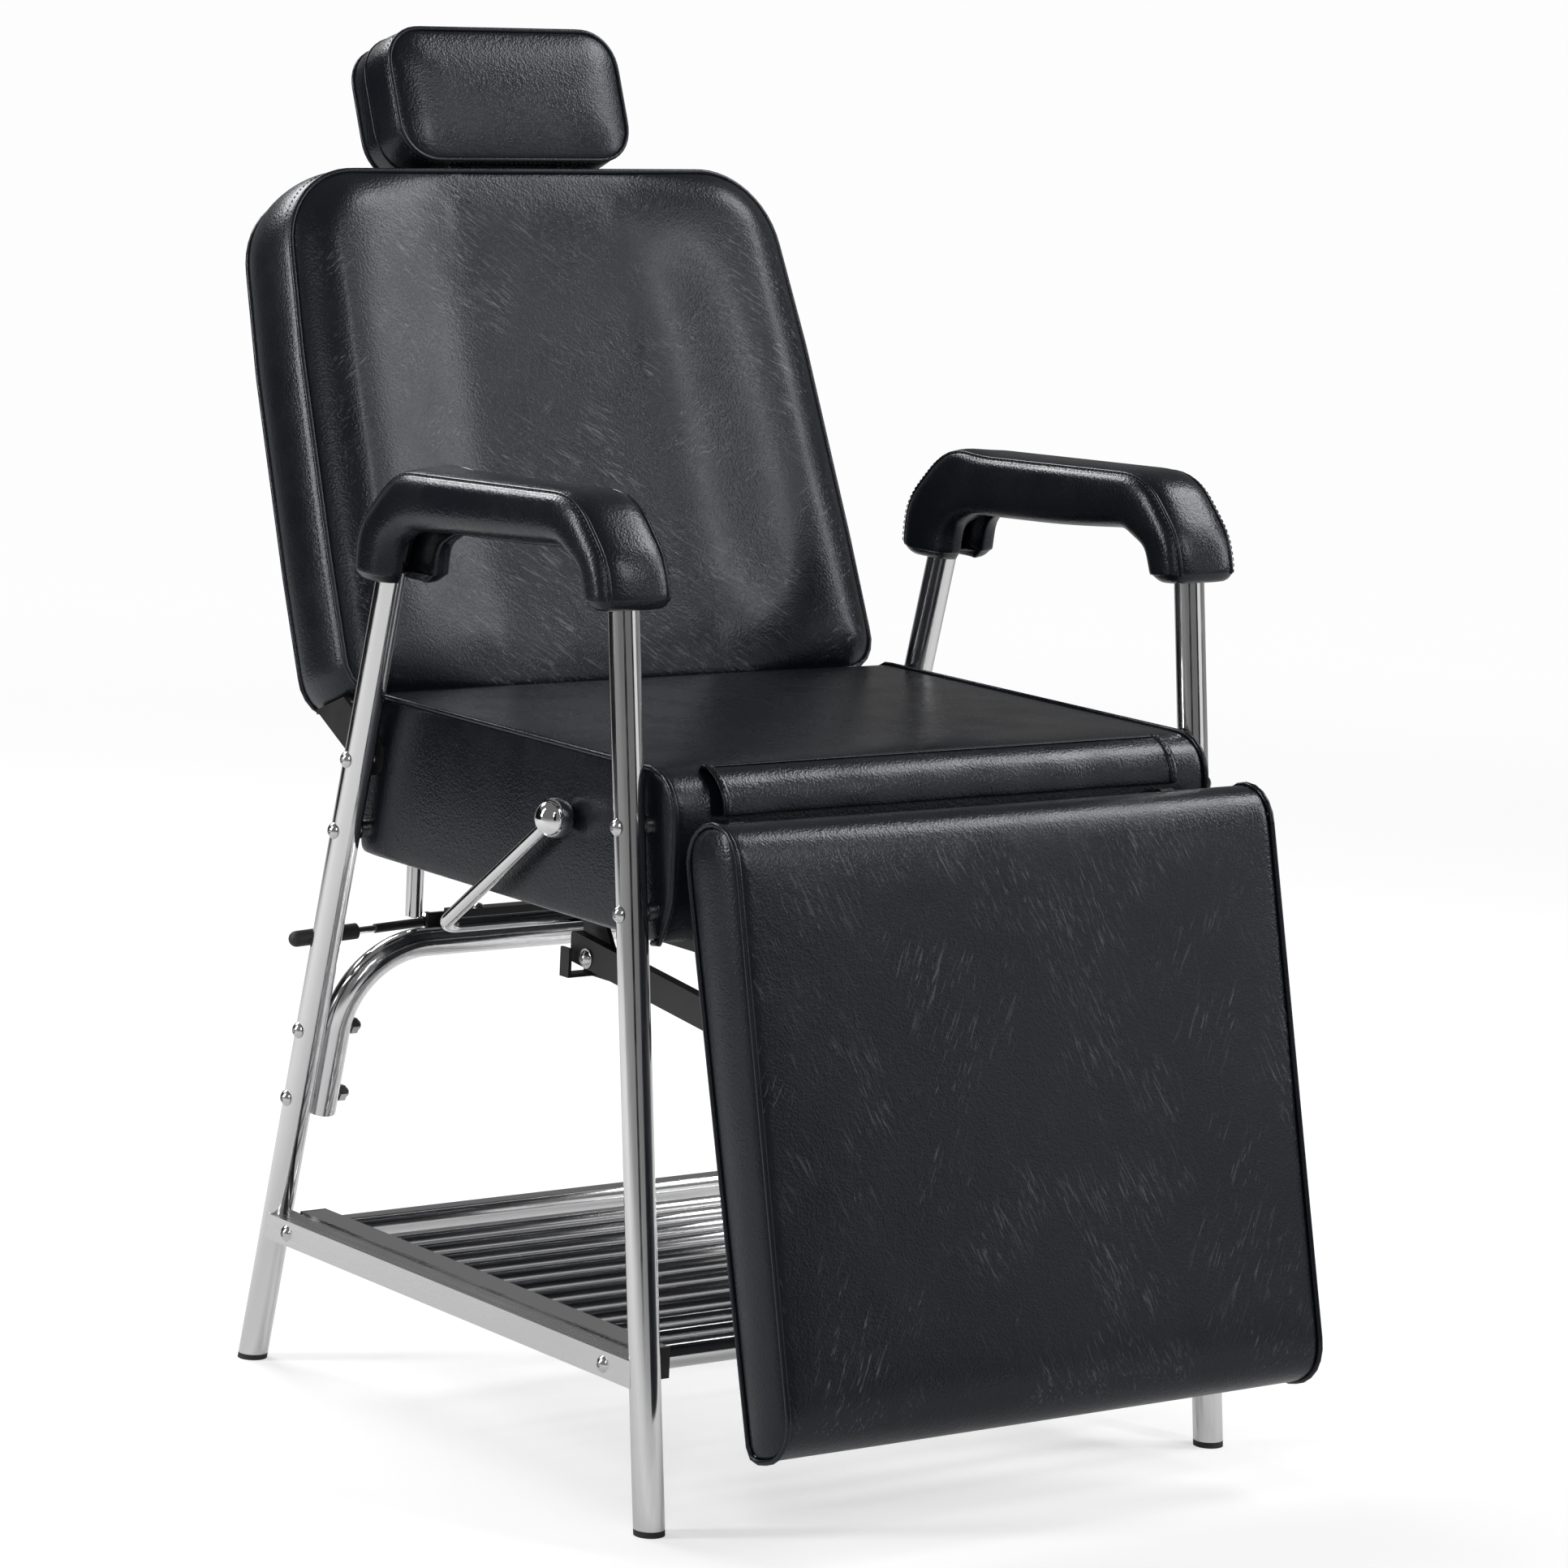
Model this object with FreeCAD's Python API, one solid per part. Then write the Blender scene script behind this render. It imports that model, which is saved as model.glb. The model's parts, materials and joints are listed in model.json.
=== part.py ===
import FreeCAD, Part

import math
import os

# Reclining salon chair on four bent-tube legs, in millimetres.
# While building, y = 0 is the front foot, -y is the way the sitter faces, +z is up and x = 0 is the
# middle.  At the end everything moves along y so that the origin is the bottom centre of the chair.

V = FreeCAD.Vector

# Driving dimensions ---------------------------------------------------------------------------

tube_r = 12.7
tube_wall = 1.5
leg_x = 288.85                # middle plane of each side frame
front_slope = 0.123           # the front leg leans back this much per unit of height
rear_foot_y = 605.7
rear_slope = 0.252            # the rear leg leans forward this much per unit of height
arm_line = ((96.2, 782.0), (412.5, 766.3))
arm_bend_r = 52.0
foot_cap_height = 5.0
gap = 0.3                     # clear air between pieces that move past each other
running = 0.05                # radial clearance of a turning or sliding fit

bolt_r = 4.0
bolt_head_r = 7.0
bolt_head_height = 4.5
bolt_hole_r = 4.2
screw_r = 3.0
screw_hole_r = 3.2
far = 900.0                   # well outside the chair, for cuts that go right through

front_bolt_z = (489.0, 557.0)
rear_bolt_z = 486.0
brace_bolt_z = (244.0, 306.0)
back_pivot_z = 549.0
pivot_bolt_r = 5.0

rail_mid_z = 126.7
stretcher_height = 22.0
rail_width = 25.4
rail_outer_x = 275.8
rail_front_y = 39.0
rail_rear_y = 553.0
rail_bolt_y = (56.1, 536.5)
rail_cap = 3.0
rail_plug = 9.0
tray_bar_r = 8.0
tray_bar_count = 11
tray_bar_pitch = 36.0
tray_first_bar_y = 108.0
tray_end_bar_y = (60.0, 530.0)
tray_end_bar_r = 12.0

brace_low_z = 229.0
brace_run_z = 378.0
brace_bend_r = 76.0
cross_bar_half = 165.0
cross_bar_side = 14.0
cross_bar_screw_x = 134.0

seat_half_width = 271.0
seat_bottom_z = 463.5
seat_top_z = 604.0
seat_front_y = 30.0
seat_rear_y = 492.0
seat_board = 12.0
seat_board_y = (70.0, 474.0)
seat_board_half = 250.0
seat_bolt_reach = 30.0        # how far the bolts go into the sides of the seat
flap_half_width = 232.0
flap_thick = 1.6
flap_gap = 0.5
flap_low_z = 566.5
flap_rear_y = 74.0
hanger_x = 115.0
hanger_plate = 5.0

back_tilt = 22.4
back_face = (506.2, 607.0)    # a point on the front face of the back, at its lower end
back_low_u = -8.0
back_high_u = 453.0
back_thick = 75.0
back_sides = ((277.0, back_low_u), (274.0, 110.0), (265.5, 290.0), (251.0, back_high_u))
back_corner_r = (14.0, 300.0, 300.0, 74.0)
back_board = 12.0
back_board_half = 225.0
back_board_u = (40.0, 420.0)
back_cleat_n = 34.0           # the front of the cleats that the hinge plates are screwed to
back_cleat_u = (20.0, 108.0)
recline = 42.0
hinge_plate = 4.0
hinge_plate_x = 271.6         # inner face of the hinge plates beside the seat
hinge_inner_x = 258.0         # inner face of the same plates inside the back
hinge_n = (24.0, 60.0)
hinge_high_u = 112.0
hinge_screws = ((46.0, 36.0), (46.0, 92.0))   # depth and height in the back's own frame

headrest_tilt = 21.5
headrest_face = (716.0, 1100.0)
headrest_low_u = -70.0
headrest_high_u = 50.0
headrest_half_width = 120.0
headrest_thick = 62.0
post_x = 60.0
post_r = 6.0
post_depth = 38.0             # how far the posts sit behind the front face of the back
socket_r = 9.0
socket_low_u = 290.0

armrest_half_width = 36.0
armrest_edge_r = 9.0
armrest_slot_half = 13.2      # the armrest is open underneath, between two lobes
armrest_outline = (
    (100.0, 725.0, 10),
    (62.0, 728.0, 12),
    (70.0, 765.0, 60),
    (118.0, 817.5, 60),
    (385.0, 806.0, 55),
    (440.0, 752.0, 50),
    (441.0, 707.0, 14),
    (389.0, 707.0, 10),
    (384.0, 740.0, 16),
    (358.0, 754.5, 40),
    (145.0, 769.5, 22),
    (112.0, 755.0, 16),
)

legrest_tilt = 13.3
legrest_face = (-58.9, 524.5)
legrest_half_width = 272.0
legrest_top_u = 56.3
legrest_low_u = -440.0
legrest_top_thick = 65.6
legrest_low_thick = 56.0
legrest_top_r = 32.7
legrest_front_r = 34.0
legrest_taper_u = 46.0        # the rear face begins to taper this far below the top
legrest_board = 9.0
legrest_board_u = (-405.0, 8.0)
legrest_board_half = 245.0
legrest_pivot = (24.0, 557.0)
legrest_ear = 4.0
legrest_bracket_x = 220.0
legrest_bracket_plate = 5.0
legrest_pin_r = 4.0
legrest_plate_u = (-46.0, 4.0)
hinge_disc_r = 7.4
hinge_room_r = 8.5

shaft = (333.0, 430.0)        # cross shaft of the hand lever
crank = (-21.6, -33.0)        # from the shaft to the link bolt, and from the leg rest's hinge to its lug
shaft_r = 6.0
lever_x = 288.5
lever_bend_r = 16.0
lever_end_x = 165.0
ball = (173.5, 546.9)
ball_r = 16.5
crank_x = 139.0
crank_plate = 4.0
crank_low_z = 378.0
hook_outer_x = 163.5
hook_wall = 3.0
hook_high_z = 403.0
link_x = 153.5                # middle plane of each link plate
link_plate = 5.0
link_height = 26.0
link_slope = 0.118
link_rear_y = 336.0
link_bend_y = 62.0
link_fold = 3.0
link_pin_play = 0.6
link_room_half = 11.5
lug_r = 8.0
lug_half = 10.5

gas_x = -190.0
gas_y = 526.0
gas_r = 7.5
gas_rod_r = 4.0
gas_bore_r = 6.0
gas_slot_play = 0.8
gas_clamp_z = (470.0, 498.0)
gas_low_z = 398.0
gas_high_z = 505.0

release_y = 530.0
release_pivot = (-172.0, 391.0)
release_slope = 2.4
release_grip_r = 6.9
release_eye_r = 8.0
release_pin_r = 3.0
release_marks = (6.0, 55.0, 74.0, 140.0)   # where the rod, the neck and the grip begin and the grip ends


# Helpers --------------------------------------------------------------------------------------

def box(x, y, z):
    return Part.makeBox(x[1] - x[0], y[1] - y[0], z[1] - z[0], V(x[0], y[0], z[0]))


def rod(start, end, radius):
    axis = end - start
    return Part.makeCylinder(radius, axis.Length, start, axis)


def corner_path(points, radii):
    """Straight runs joined by arcs: one radius for each inner point."""
    edges = []
    start = points[0]
    for before, corner, after, radius in zip(points, points[1:], points[2:], radii):
        if radius == 0:
            edges.append(Part.makeLine(start, corner))
            start = corner
            continue
        a = (before - corner).normalize()
        b = (after - corner).normalize()
        half = a.getAngle(b) / 2
        bisector = (a + b).normalize()
        first = corner + a * (radius / math.tan(half))
        last = corner + b * (radius / math.tan(half))
        middle = corner + bisector * (radius / math.sin(half) - radius)
        if (first - start).Length > 1e-6:
            edges.append(Part.makeLine(start, first))
        edges.append(Part.Arc(first, middle, last).toShape())
        start = last
    if (points[-1] - start).Length > 1e-6:
        edges.append(Part.makeLine(start, points[-1]))
    return edges


def closed_face(points, radii):
    """A closed face with one corner radius for each point."""
    both = radii[-1] + radii[0]
    share = radii[-1] / both if both > 0 else 0.5
    start = points[-1] + (points[0] - points[-1]) * share
    return Part.Face(Part.Wire(corner_path([start] + points + [start], radii)))


def outline(corners, x=0.0):
    """A closed face in the plane of one x, from (y, z, corner radius) entries."""
    points = [V(x, y, z) for y, z, radius in corners]
    return closed_face(points, [radius for y, z, radius in corners])


def prism(corners, x):
    """A solid between two values of x with the given outline."""
    return outline(corners, x[0]).extrude(V(x[1] - x[0], 0, 0))


def pipe(points, radii, radius):
    """A round bar along a bent path."""
    path = Part.Wire(corner_path(points, radii))
    ring = Part.Wire([Part.makeCircle(radius, points[0], points[1] - points[0])])
    return path.makePipeShell([ring], True, True)


def mirrored(shape):
    return shape.mirror(V(0, 0, 0), V(1, 0, 0))


def both_sides(shape):
    return [shape, mirrored(shape)]


def tilted(shape, face, tilt):
    """From a piece's own upright frame (front face at y = 0) to its place in the chair."""
    placed = shape.copy()
    placed.rotate(V(0, 0, 0), V(1, 0, 0), -tilt)
    placed.translate(V(0, face[0], face[1]))
    return placed


def cross_hole(y, z, radius):
    """Along x through everything on the left side."""
    return rod(V(-far, y, z), V(0, y, z), radius)


def cut_all(shape, tools):
    for tool in tools:
        shape = shape.cut(tool)
    return shape


def button_bolt(head, direction, length, radius=bolt_r):
    """A socket button-head bolt whose head sits at one point and whose shank runs one way."""
    head_r = radius * bolt_head_r / bolt_r
    height = radius * bolt_head_height / bolt_r
    sphere_r = (head_r ** 2 + height ** 2) / (2 * height)
    dome = Part.makeSphere(sphere_r, head + direction * (sphere_r - height))
    dome = dome.common(rod(head, head - direction * height, head_r))
    socket = rod(head - direction * height, head - direction * height * 0.4, radius * 0.6)
    return dome.cut(socket).fuse(rod(head, head + direction * length, radius)).removeSplitter()


def front_leg_y(z):
    return front_slope * z


def rear_leg_y(z):
    return rear_foot_y - rear_slope * z


def leg_points():
    """Centre line of one side frame, from below the front foot to below the rear foot."""
    low = -30.0
    line = [(front_leg_y(low), low), arm_line[0], arm_line[1], (rear_leg_y(low), low)]
    return [V(-leg_x, y, z) for y, z in line]


back_pivot = (rear_leg_y(back_pivot_z), back_pivot_z)


def leg_bolt_places():
    places = [(front_leg_y(z), z) for z in front_bolt_z]
    places += [(rear_leg_y(z), z) for z in brace_bolt_z + (rear_bolt_z, back_pivot_z)]
    return places


# Frame ----------------------------------------------------------------------------------------

def side_frame():
    outer = pipe(leg_points(), (arm_bend_r, arm_bend_r), tube_r)
    inner = pipe(leg_points(), (arm_bend_r, arm_bend_r), tube_r - tube_wall)
    below = box((-far, 0), (-far, far), (-far, foot_cap_height))
    holes = [cross_hole(y, z, bolt_hole_r) for y, z in leg_bolt_places()]
    return cut_all(outer.cut(inner), [below] + holes)


def foot_caps():
    solid = pipe(leg_points(), (arm_bend_r, arm_bend_r), tube_r)
    slab = box((-far, 0), (-far, far), (0, foot_cap_height))
    return both_sides_solids(solid.common(slab))


def both_sides_solids(shape):
    return [solid for side in both_sides(shape) for solid in side.Solids]


def hollow_bar(x, y, z, wall):
    inner = box((x[0] + wall, x[1] - wall), (y[0] - 1, y[1] + 1), (z[0] + wall, z[1] - wall))
    return box(x, y, z).cut(inner)


rail_z = (rail_mid_z - rail_width / 2, rail_mid_z + rail_width / 2)
stretcher_z = (rail_mid_z - stretcher_height / 2, rail_mid_z + stretcher_height / 2)
rail_inner_x = rail_outer_x - rail_width


def rail_bolt_holes():
    return [cross_hole(y, rail_mid_z, bolt_hole_r) for y in rail_bolt_y]


def stretcher():
    ends = (front_leg_y(rail_mid_z) + 2, rear_leg_y(rail_mid_z) - 2)
    bar = hollow_bar((-leg_x - tube_r, -rail_outer_x - gap), ends, stretcher_z, tube_wall)
    leg = pipe(leg_points(), (arm_bend_r, arm_bend_r), tube_r + 0.05)
    coped = cut_all(bar, [leg] + rail_bolt_holes())
    return max(coped.Solids, key=lambda solid: solid.Volume)


def tray_rail():
    rail = hollow_bar((-rail_outer_x, -rail_inner_x), (rail_front_y, rail_rear_y), rail_z, tube_wall)
    return cut_all(rail, rail_bolt_holes())


def rail_caps():
    caps = []
    inset = tube_wall + 0.1
    for y, inward in ((rail_front_y, 1), (rail_rear_y, -1)):
        plate = box((-rail_outer_x, -rail_inner_x), sorted((y, y - rail_cap * inward)), rail_z)
        plug_x = (-rail_outer_x + inset, -rail_inner_x - inset)
        plug = box(plug_x, sorted((y, y + rail_plug * inward)), (rail_z[0] + inset, rail_z[1] - inset))
        caps.append(plate.fuse(plug).removeSplitter())
    return caps + [mirrored(cap) for cap in caps]


def tray_bar(y, radius):
    return rod(V(-rail_inner_x, y, rail_mid_z), V(rail_inner_x, y, rail_mid_z), radius)


def tray_bars():
    return [tray_bar(tray_first_bar_y + tray_bar_pitch * i, tray_bar_r) for i in range(tray_bar_count)]


def tray_end_bars():
    return [tray_bar(y, tray_end_bar_r) for y in tray_end_bar_y]


def leg_bolt(y, z, end_x):
    """From the outer side of the left frame inwards."""
    outer_x = leg_x + tube_r
    return button_bolt(V(-outer_x, y, z), V(1, 0, 0), outer_x - end_x)


def rail_bolts():
    bolts = [leg_bolt(y, rail_mid_z, rail_inner_x + 4) for y in rail_bolt_y]
    return bolts + [mirrored(bolt) for bolt in bolts]


brace_x = leg_x - 2 * tube_r - 0.1


def rear_brace():
    low = [V(x, rear_leg_y(brace_low_z), brace_low_z) for x in (-brace_x, brace_x)]
    high = [V(x, rear_leg_y(brace_run_z), brace_run_z) for x in (-brace_x, brace_x)]
    path = [low[0], high[0], high[1], low[1]]
    bends = (brace_bend_r, brace_bend_r)
    tube = pipe(path, bends, tube_r).cut(pipe(path, bends, tube_r - tube_wall))
    holes = [rod(V(-far, rear_leg_y(z), z), V(far, rear_leg_y(z), z), bolt_hole_r) for z in brace_bolt_z]
    holes += cross_bar_holes()
    return cut_all(tube, holes)


def brace_bolts():
    bolts = [leg_bolt(rear_leg_y(z), z, brace_x - tube_r - 10) for z in brace_bolt_z]
    return bolts + [mirrored(bolt) for bolt in bolts]


def hex_nut(x, y, z, height=6.5, across=13.0):
    """A nut on a bolt that runs along x, starting at x and reaching one height further."""
    turns = [math.radians(60 * turn) for turn in range(7)]
    corner_r = across / math.sqrt(3)
    corners = [V(x, y + corner_r * math.cos(a), z + corner_r * math.sin(a)) for a in turns]
    body = Part.Face(Part.makePolygon(corners)).extrude(V(height, 0, 0))
    return body.cut(rod(V(x, y, z), V(x + height, y, z), bolt_r))


def brace_nuts():
    inner_x = brace_x - tube_r
    nuts = [hex_nut(-inner_x + 0.1, rear_leg_y(z), z) for z in brace_bolt_z]
    return nuts + [mirrored(nut) for nut in nuts]


def cross_bar_z():
    low = brace_run_z + tube_r
    return (low, low + cross_bar_side)


def cross_bar_holes():
    y = rear_leg_y(brace_run_z)
    top = cross_bar_z()[1] + 1
    return [rod(V(x, y, brace_run_z), V(x, y, top), screw_hole_r) for x in (-cross_bar_screw_x, cross_bar_screw_x)]


def cross_bar():
    y = rear_leg_y(brace_run_z)
    half = cross_bar_side / 2
    bar = box((-cross_bar_half, cross_bar_half), (y - half, y + half), cross_bar_z())
    return cut_all(bar, cross_bar_holes())


def cross_bar_bolts():
    y = rear_leg_y(brace_run_z)
    top = cross_bar_z()[1]
    length = top - brace_run_z - 6
    places = [V(x, y, top) for x in (-cross_bar_screw_x, cross_bar_screw_x)]
    return [button_bolt(place, V(0, 0, -1), length, screw_r) for place in places]


# Release rod of the back, on a pivot pin behind the cross bar ------------------------------------

def release_bracket():
    """A tab welded behind the cross bar, with the pin that the release rod turns on."""
    x, z = release_pivot
    back_y = rear_leg_y(brace_run_z) + cross_bar_side / 2
    tab = box((x - 9, x + 12), (back_y, back_y + 4), (z - 7, z + 10))
    pin = rod(V(x, back_y, z), V(x, release_y + 9, z), release_pin_r)
    cap = rod(V(x, release_y + 6.5, z), V(x, release_y + 9, z), release_pin_r + 2.5)
    run_y = rear_leg_y(brace_run_z)
    tube = rod(V(-brace_x, run_y, brace_run_z), V(brace_x, run_y, brace_run_z), tube_r + 0.1)
    return tab.fuse([pin, cap]).cut(tube).removeSplitter()


def release_point(distance):
    """A point on the release rod's centre line, this far out from its pivot."""
    angle = math.radians(release_slope)
    x, z = release_pivot
    return V(x - distance * math.cos(angle), release_y, z - distance * math.sin(angle))


def release_rod():
    return rod(release_point(release_marks[0]), release_point(release_marks[1]), 4.0).cut(release_eye_room())


def release_eye_room():
    x, z = release_pivot
    return rod(V(x, release_y - 10, z), V(x, release_y + 10, z), release_eye_r)


def release_eye():
    x, z = release_pivot
    ring = rod(V(x, release_y - 4, z), V(x, release_y + 4, z), release_eye_r)
    return ring.cut(rod(V(x, release_y - 5, z), V(x, release_y + 5, z), release_pin_r + running))


def release_neck():
    return rod(release_point(release_marks[1]), release_point(release_marks[2] + 20), 3.0)


def release_grip():
    start, end = release_point(release_marks[2]), release_point(release_marks[3] - release_grip_r)
    grip = rod(start, end, release_grip_r).fuse(Part.makeSphere(release_grip_r, end)).removeSplitter()
    return grip.cut(rod(release_point(release_marks[1]), release_point(release_marks[2] + 20), 3.0))


# Seat -----------------------------------------------------------------------------------------

def seat_bolt_places():
    places = [(front_leg_y(z), z) for z in front_bolt_z]
    return places + [(rear_leg_y(rear_bolt_z), rear_bolt_z)]


def seat_cushion():
    corners = [
        (46.0, seat_bottom_z, 4),
        (seat_front_y, 500.0, 60),
        (seat_front_y, seat_top_z, 38),
        (seat_rear_y, seat_top_z, 14),
        (seat_rear_y + 1, seat_bottom_z, 4),
    ]
    cushion = prism(corners, (-seat_half_width, seat_half_width))
    places = seat_bolt_places() + [back_pivot]
    inner_x = -seat_half_width + seat_bolt_reach + 4
    holes = [rod(V(-far, y, z), V(inner_x, y, z), bolt_hole_r + 1.0) for y, z in places]
    hinge_y, hinge_z = legrest_pivot
    hinge_x = (-legrest_bracket_x - 9, -legrest_bracket_x + 9)
    holes.append(rod(V(hinge_x[0], hinge_y, hinge_z), V(hinge_x[1], hinge_y, hinge_z), hinge_room_r))
    return cut_all(cushion, [seat_base()] + holes + [mirrored(hole) for hole in holes])


def seat_base():
    return box((-seat_board_half, seat_board_half), seat_board_y, (seat_bottom_z, seat_bottom_z + seat_board))


def seat_bolts():
    bolts = [leg_bolt(y, z, seat_half_width - seat_bolt_reach) for y, z in seat_bolt_places()]
    return bolts + [mirrored(bolt) for bolt in bolts]


def seat_spacers():
    spacers = []
    for y, z in seat_bolt_places():
        outer_x = leg_x - tube_r
        ring = rod(V(-outer_x, y, z), V(-seat_half_width, y, z), 8)
        ring = ring.cut(rod(V(-outer_x, y, z), V(-seat_half_width, y, z), bolt_r))
        spacers.append(ring)
    return spacers + [mirrored(spacer) for spacer in spacers]


def pivot_bolts():
    y, z = back_pivot
    bolt = leg_bolt(y, z, seat_half_width - seat_bolt_reach)
    shoulder = rod(V(-leg_x + tube_r + 0.1, y, z), V(-seat_half_width - 0.1, y, z), pivot_bolt_r)
    return both_sides(bolt.fuse(shoulder).removeSplitter())


def seat_flap():
    """A sheet from the front edge of the seat, down in front of it to the top of the leg rest."""
    top_z = seat_top_z + flap_gap
    front_y = seat_front_y - flap_gap
    bend_r = 36.0 + flap_gap
    corners = [
        (flap_rear_y, top_z + flap_thick, 0),
        (front_y - flap_thick, top_z + flap_thick, bend_r + flap_thick),
        (front_y - flap_thick, flap_low_z, 0),
        (front_y, flap_low_z, 0),
        (front_y, top_z, bend_r),
        (flap_rear_y, top_z, 0),
    ]
    return prism(corners, (-flap_half_width, flap_half_width))


def lever_hangers():
    y, z = shaft
    corners = [
        (y - 26, seat_bottom_z, 0),
        (y - 13, z - 14, 12),
        (y + 13, z - 14, 12),
        (y + 26, seat_bottom_z, 0),
    ]
    plate = prism(corners, (-hanger_x - hanger_plate / 2, -hanger_x + hanger_plate / 2))
    foot = box((-hanger_x, -hanger_x + 26), (y - 26, y + 26), (seat_bottom_z - 3, seat_bottom_z))
    bore = rod(V(-hanger_x - 20, y, z), V(-hanger_x + 20, y, z), shaft_r + running)
    hangers = plate.fuse(foot).cut(bore).removeSplitter()
    return both_sides(hangers)


def legrest_brackets():
    """Plates that rise in front of the seat and carry the leg rest's hinge pins."""
    y, z = legrest_pivot
    corners = [
        (112.0, seat_bottom_z - 0.2, 0),
        (43.0, seat_bottom_z - 0.2, 3),
        (seat_front_y - 1.2, 496.0, 10),
        (seat_front_y - 1.2, z, 0),
        (y - hinge_disc_r, z, 0),
        (y - 6.5, 520.0, 30),
        (y + 8.0, 452.0, 12),
        (112.0, 452.0, 0),
    ]
    low_x = legrest_bracket_x - legrest_bracket_plate / 2
    plate = prism(corners, (-low_x - legrest_bracket_plate, -low_x))
    foot = box((-low_x - 1, -low_x + 24), (74, 112), (seat_bottom_z - 3, seat_bottom_z))
    disc = rod(V(-low_x - legrest_bracket_plate, y, z), V(-low_x, y, z), hinge_disc_r)
    disc = disc.common(box((-far, 0), (0, seat_front_y - 1.2), (0, far)))
    bore = cross_hole(y, z, legrest_pin_r + running)
    return both_sides(plate.fuse([foot, disc]).cut(bore).removeSplitter())


def gas_clamp():
    """A block on the rear of the seat that holds the gas spring's cylinder."""
    block = box((gas_x - 14, gas_x + 14), (seat_rear_y + 1, gas_y + 11), gas_clamp_z)
    return block.cut(rod(V(gas_x, gas_y, 0), V(gas_x, gas_y, far), gas_r))


def gas_cylinder():
    shell = rod(V(gas_x, gas_y, gas_low_z), V(gas_x, gas_y, gas_high_z), gas_r)
    tip = rod(V(gas_x, gas_y, gas_low_z - 1.6), V(gas_x, gas_y, gas_low_z), 3.0)
    bore = rod(V(gas_x, gas_y, gas_low_z + 5), V(gas_x, gas_y, gas_high_z - 8), gas_bore_r)
    neck = rod(V(gas_x, gas_y, gas_high_z - 9), V(gas_x, gas_y, gas_high_z + 1), gas_rod_r + running)
    return shell.fuse(tip).cut(bore).cut(neck).removeSplitter()


# Armrests -------------------------------------------------------------------------------------

def armrest():
    """A padded channel, open underneath, that the tube's top run lies in."""
    pad = prism(armrest_outline, (-leg_x - armrest_half_width, -leg_x + armrest_half_width))
    long_edges = [edge for edge in pad.Edges if abs(edge.BoundBox.XLength) < 0.1]
    pad = pad.makeFillet(armrest_edge_r, long_edges)
    tube_room = pipe(leg_points(), (arm_bend_r, arm_bend_r), tube_r + 0.2)
    low_z = seat_top_z
    slot = [
        (front_leg_y(low_z), low_z, 0),
        arm_line[0] + (arm_bend_r,),
        arm_line[1] + (arm_bend_r,),
        (rear_leg_y(low_z), low_z, 0),
    ]
    slot_room = prism(slot, (-leg_x - armrest_slot_half, -leg_x + armrest_slot_half))
    return cut_all(pad, [tube_room, slot_room])


# Hand lever, cranks and links -------------------------------------------------------------------

def lever_rod():
    y, z = shaft
    points = [V(-lever_x, ball[0], ball[1]), V(-lever_x, y, z), V(lever_end_x, y, z)]
    return pipe(points, [lever_bend_r], shaft_r).cut(lever_ball())


def lever_ball():
    return Part.makeSphere(ball_r, V(-lever_x, ball[0], ball[1]))


def shaft_collars():
    y, z = shaft
    x = hanger_x + hanger_plate / 2 + gap
    collar = rod(V(-x, y, z), V(-x - 8, y, z), 10).cut(rod(V(-x + 1, y, z), V(-x - 9, y, z), shaft_r))
    return both_sides(collar)


def link_bolt_place():
    return (shaft[0] + crank[0], shaft[1] + crank[1])


def crank_plate_shape():
    y, z = shaft
    corners = [
        (y - 12, z + 11, 8),
        (y + 12, z + 11, 8),
        (y + 7, crank_low_z, 2),
        (299.0, crank_low_z, 5),
        (299.0, 406.0, 6),
    ]
    plate = prism(corners, (-crank_x, -crank_x + crank_plate))
    rear = (y - 6, y + 7)
    web = box((-hook_outer_x, -crank_x), rear, (crank_low_z, crank_low_z + hook_wall))
    strip = box((-hook_outer_x, -hook_outer_x + hook_wall), rear, (crank_low_z, hook_high_z))
    holes = [cross_hole(y, z, shaft_r), cross_hole(*link_bolt_place(), bolt_r + running)]
    return cut_all(plate.fuse([web, strip]), holes).removeSplitter()


def legrest_lug_place():
    return (legrest_pivot[0] + crank[0], legrest_pivot[1] + crank[1])


def link_bar():
    """A flat bar with a folded top edge, straight under the seat and bent up behind the leg rest."""
    bolt_y, bolt_z = link_bolt_place()
    mid_z = bolt_z + 4.0
    half = link_height / 2
    pin_y, pin_z = legrest_lug_place()

    def edge_z(y, side):
        return mid_z + (y - bolt_y) * link_slope + side * half

    corners = [
        (link_rear_y, edge_z(link_rear_y, 1), 3),
        (link_bend_y, edge_z(link_bend_y, 1), 26),
        (31.0, 420.0, 30),
        (25.0, 497.0, 18),
        (pin_y + 7.0, pin_z + 8.0, 7),
        (pin_y - 8.5, pin_z + 8.0, 8),
        (pin_y - 7.5, pin_z - 9.0, 8),
        (10.5, 497.0, 20),
        (10.5, 425.0, 20),
        (34.0, edge_z(34.0, -1), 26),
        (link_rear_y, edge_z(link_rear_y, -1), 3),
    ]
    x = (-link_x - link_plate / 2, -link_x + link_plate / 2)
    plate = prism(corners, x)
    fold_rear_y = link_rear_y - 3
    fold_front_y = link_bend_y + 30
    fold_corners = [
        (fold_rear_y, edge_z(fold_rear_y, 1), 0),
        (fold_front_y, edge_z(fold_front_y, 1), 0),
        (fold_front_y, edge_z(fold_front_y, 1) - link_fold, 0),
        (fold_rear_y, edge_z(fold_rear_y, 1) - link_fold, 0),
    ]
    fold = prism(fold_corners, (x[0], x[1] + 5))
    holes = [cross_hole(bolt_y, bolt_z, bolt_r), cross_hole(pin_y, pin_z, legrest_pin_r + link_pin_play)]
    return cut_all(plate.fuse(fold), holes).removeSplitter()


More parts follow.
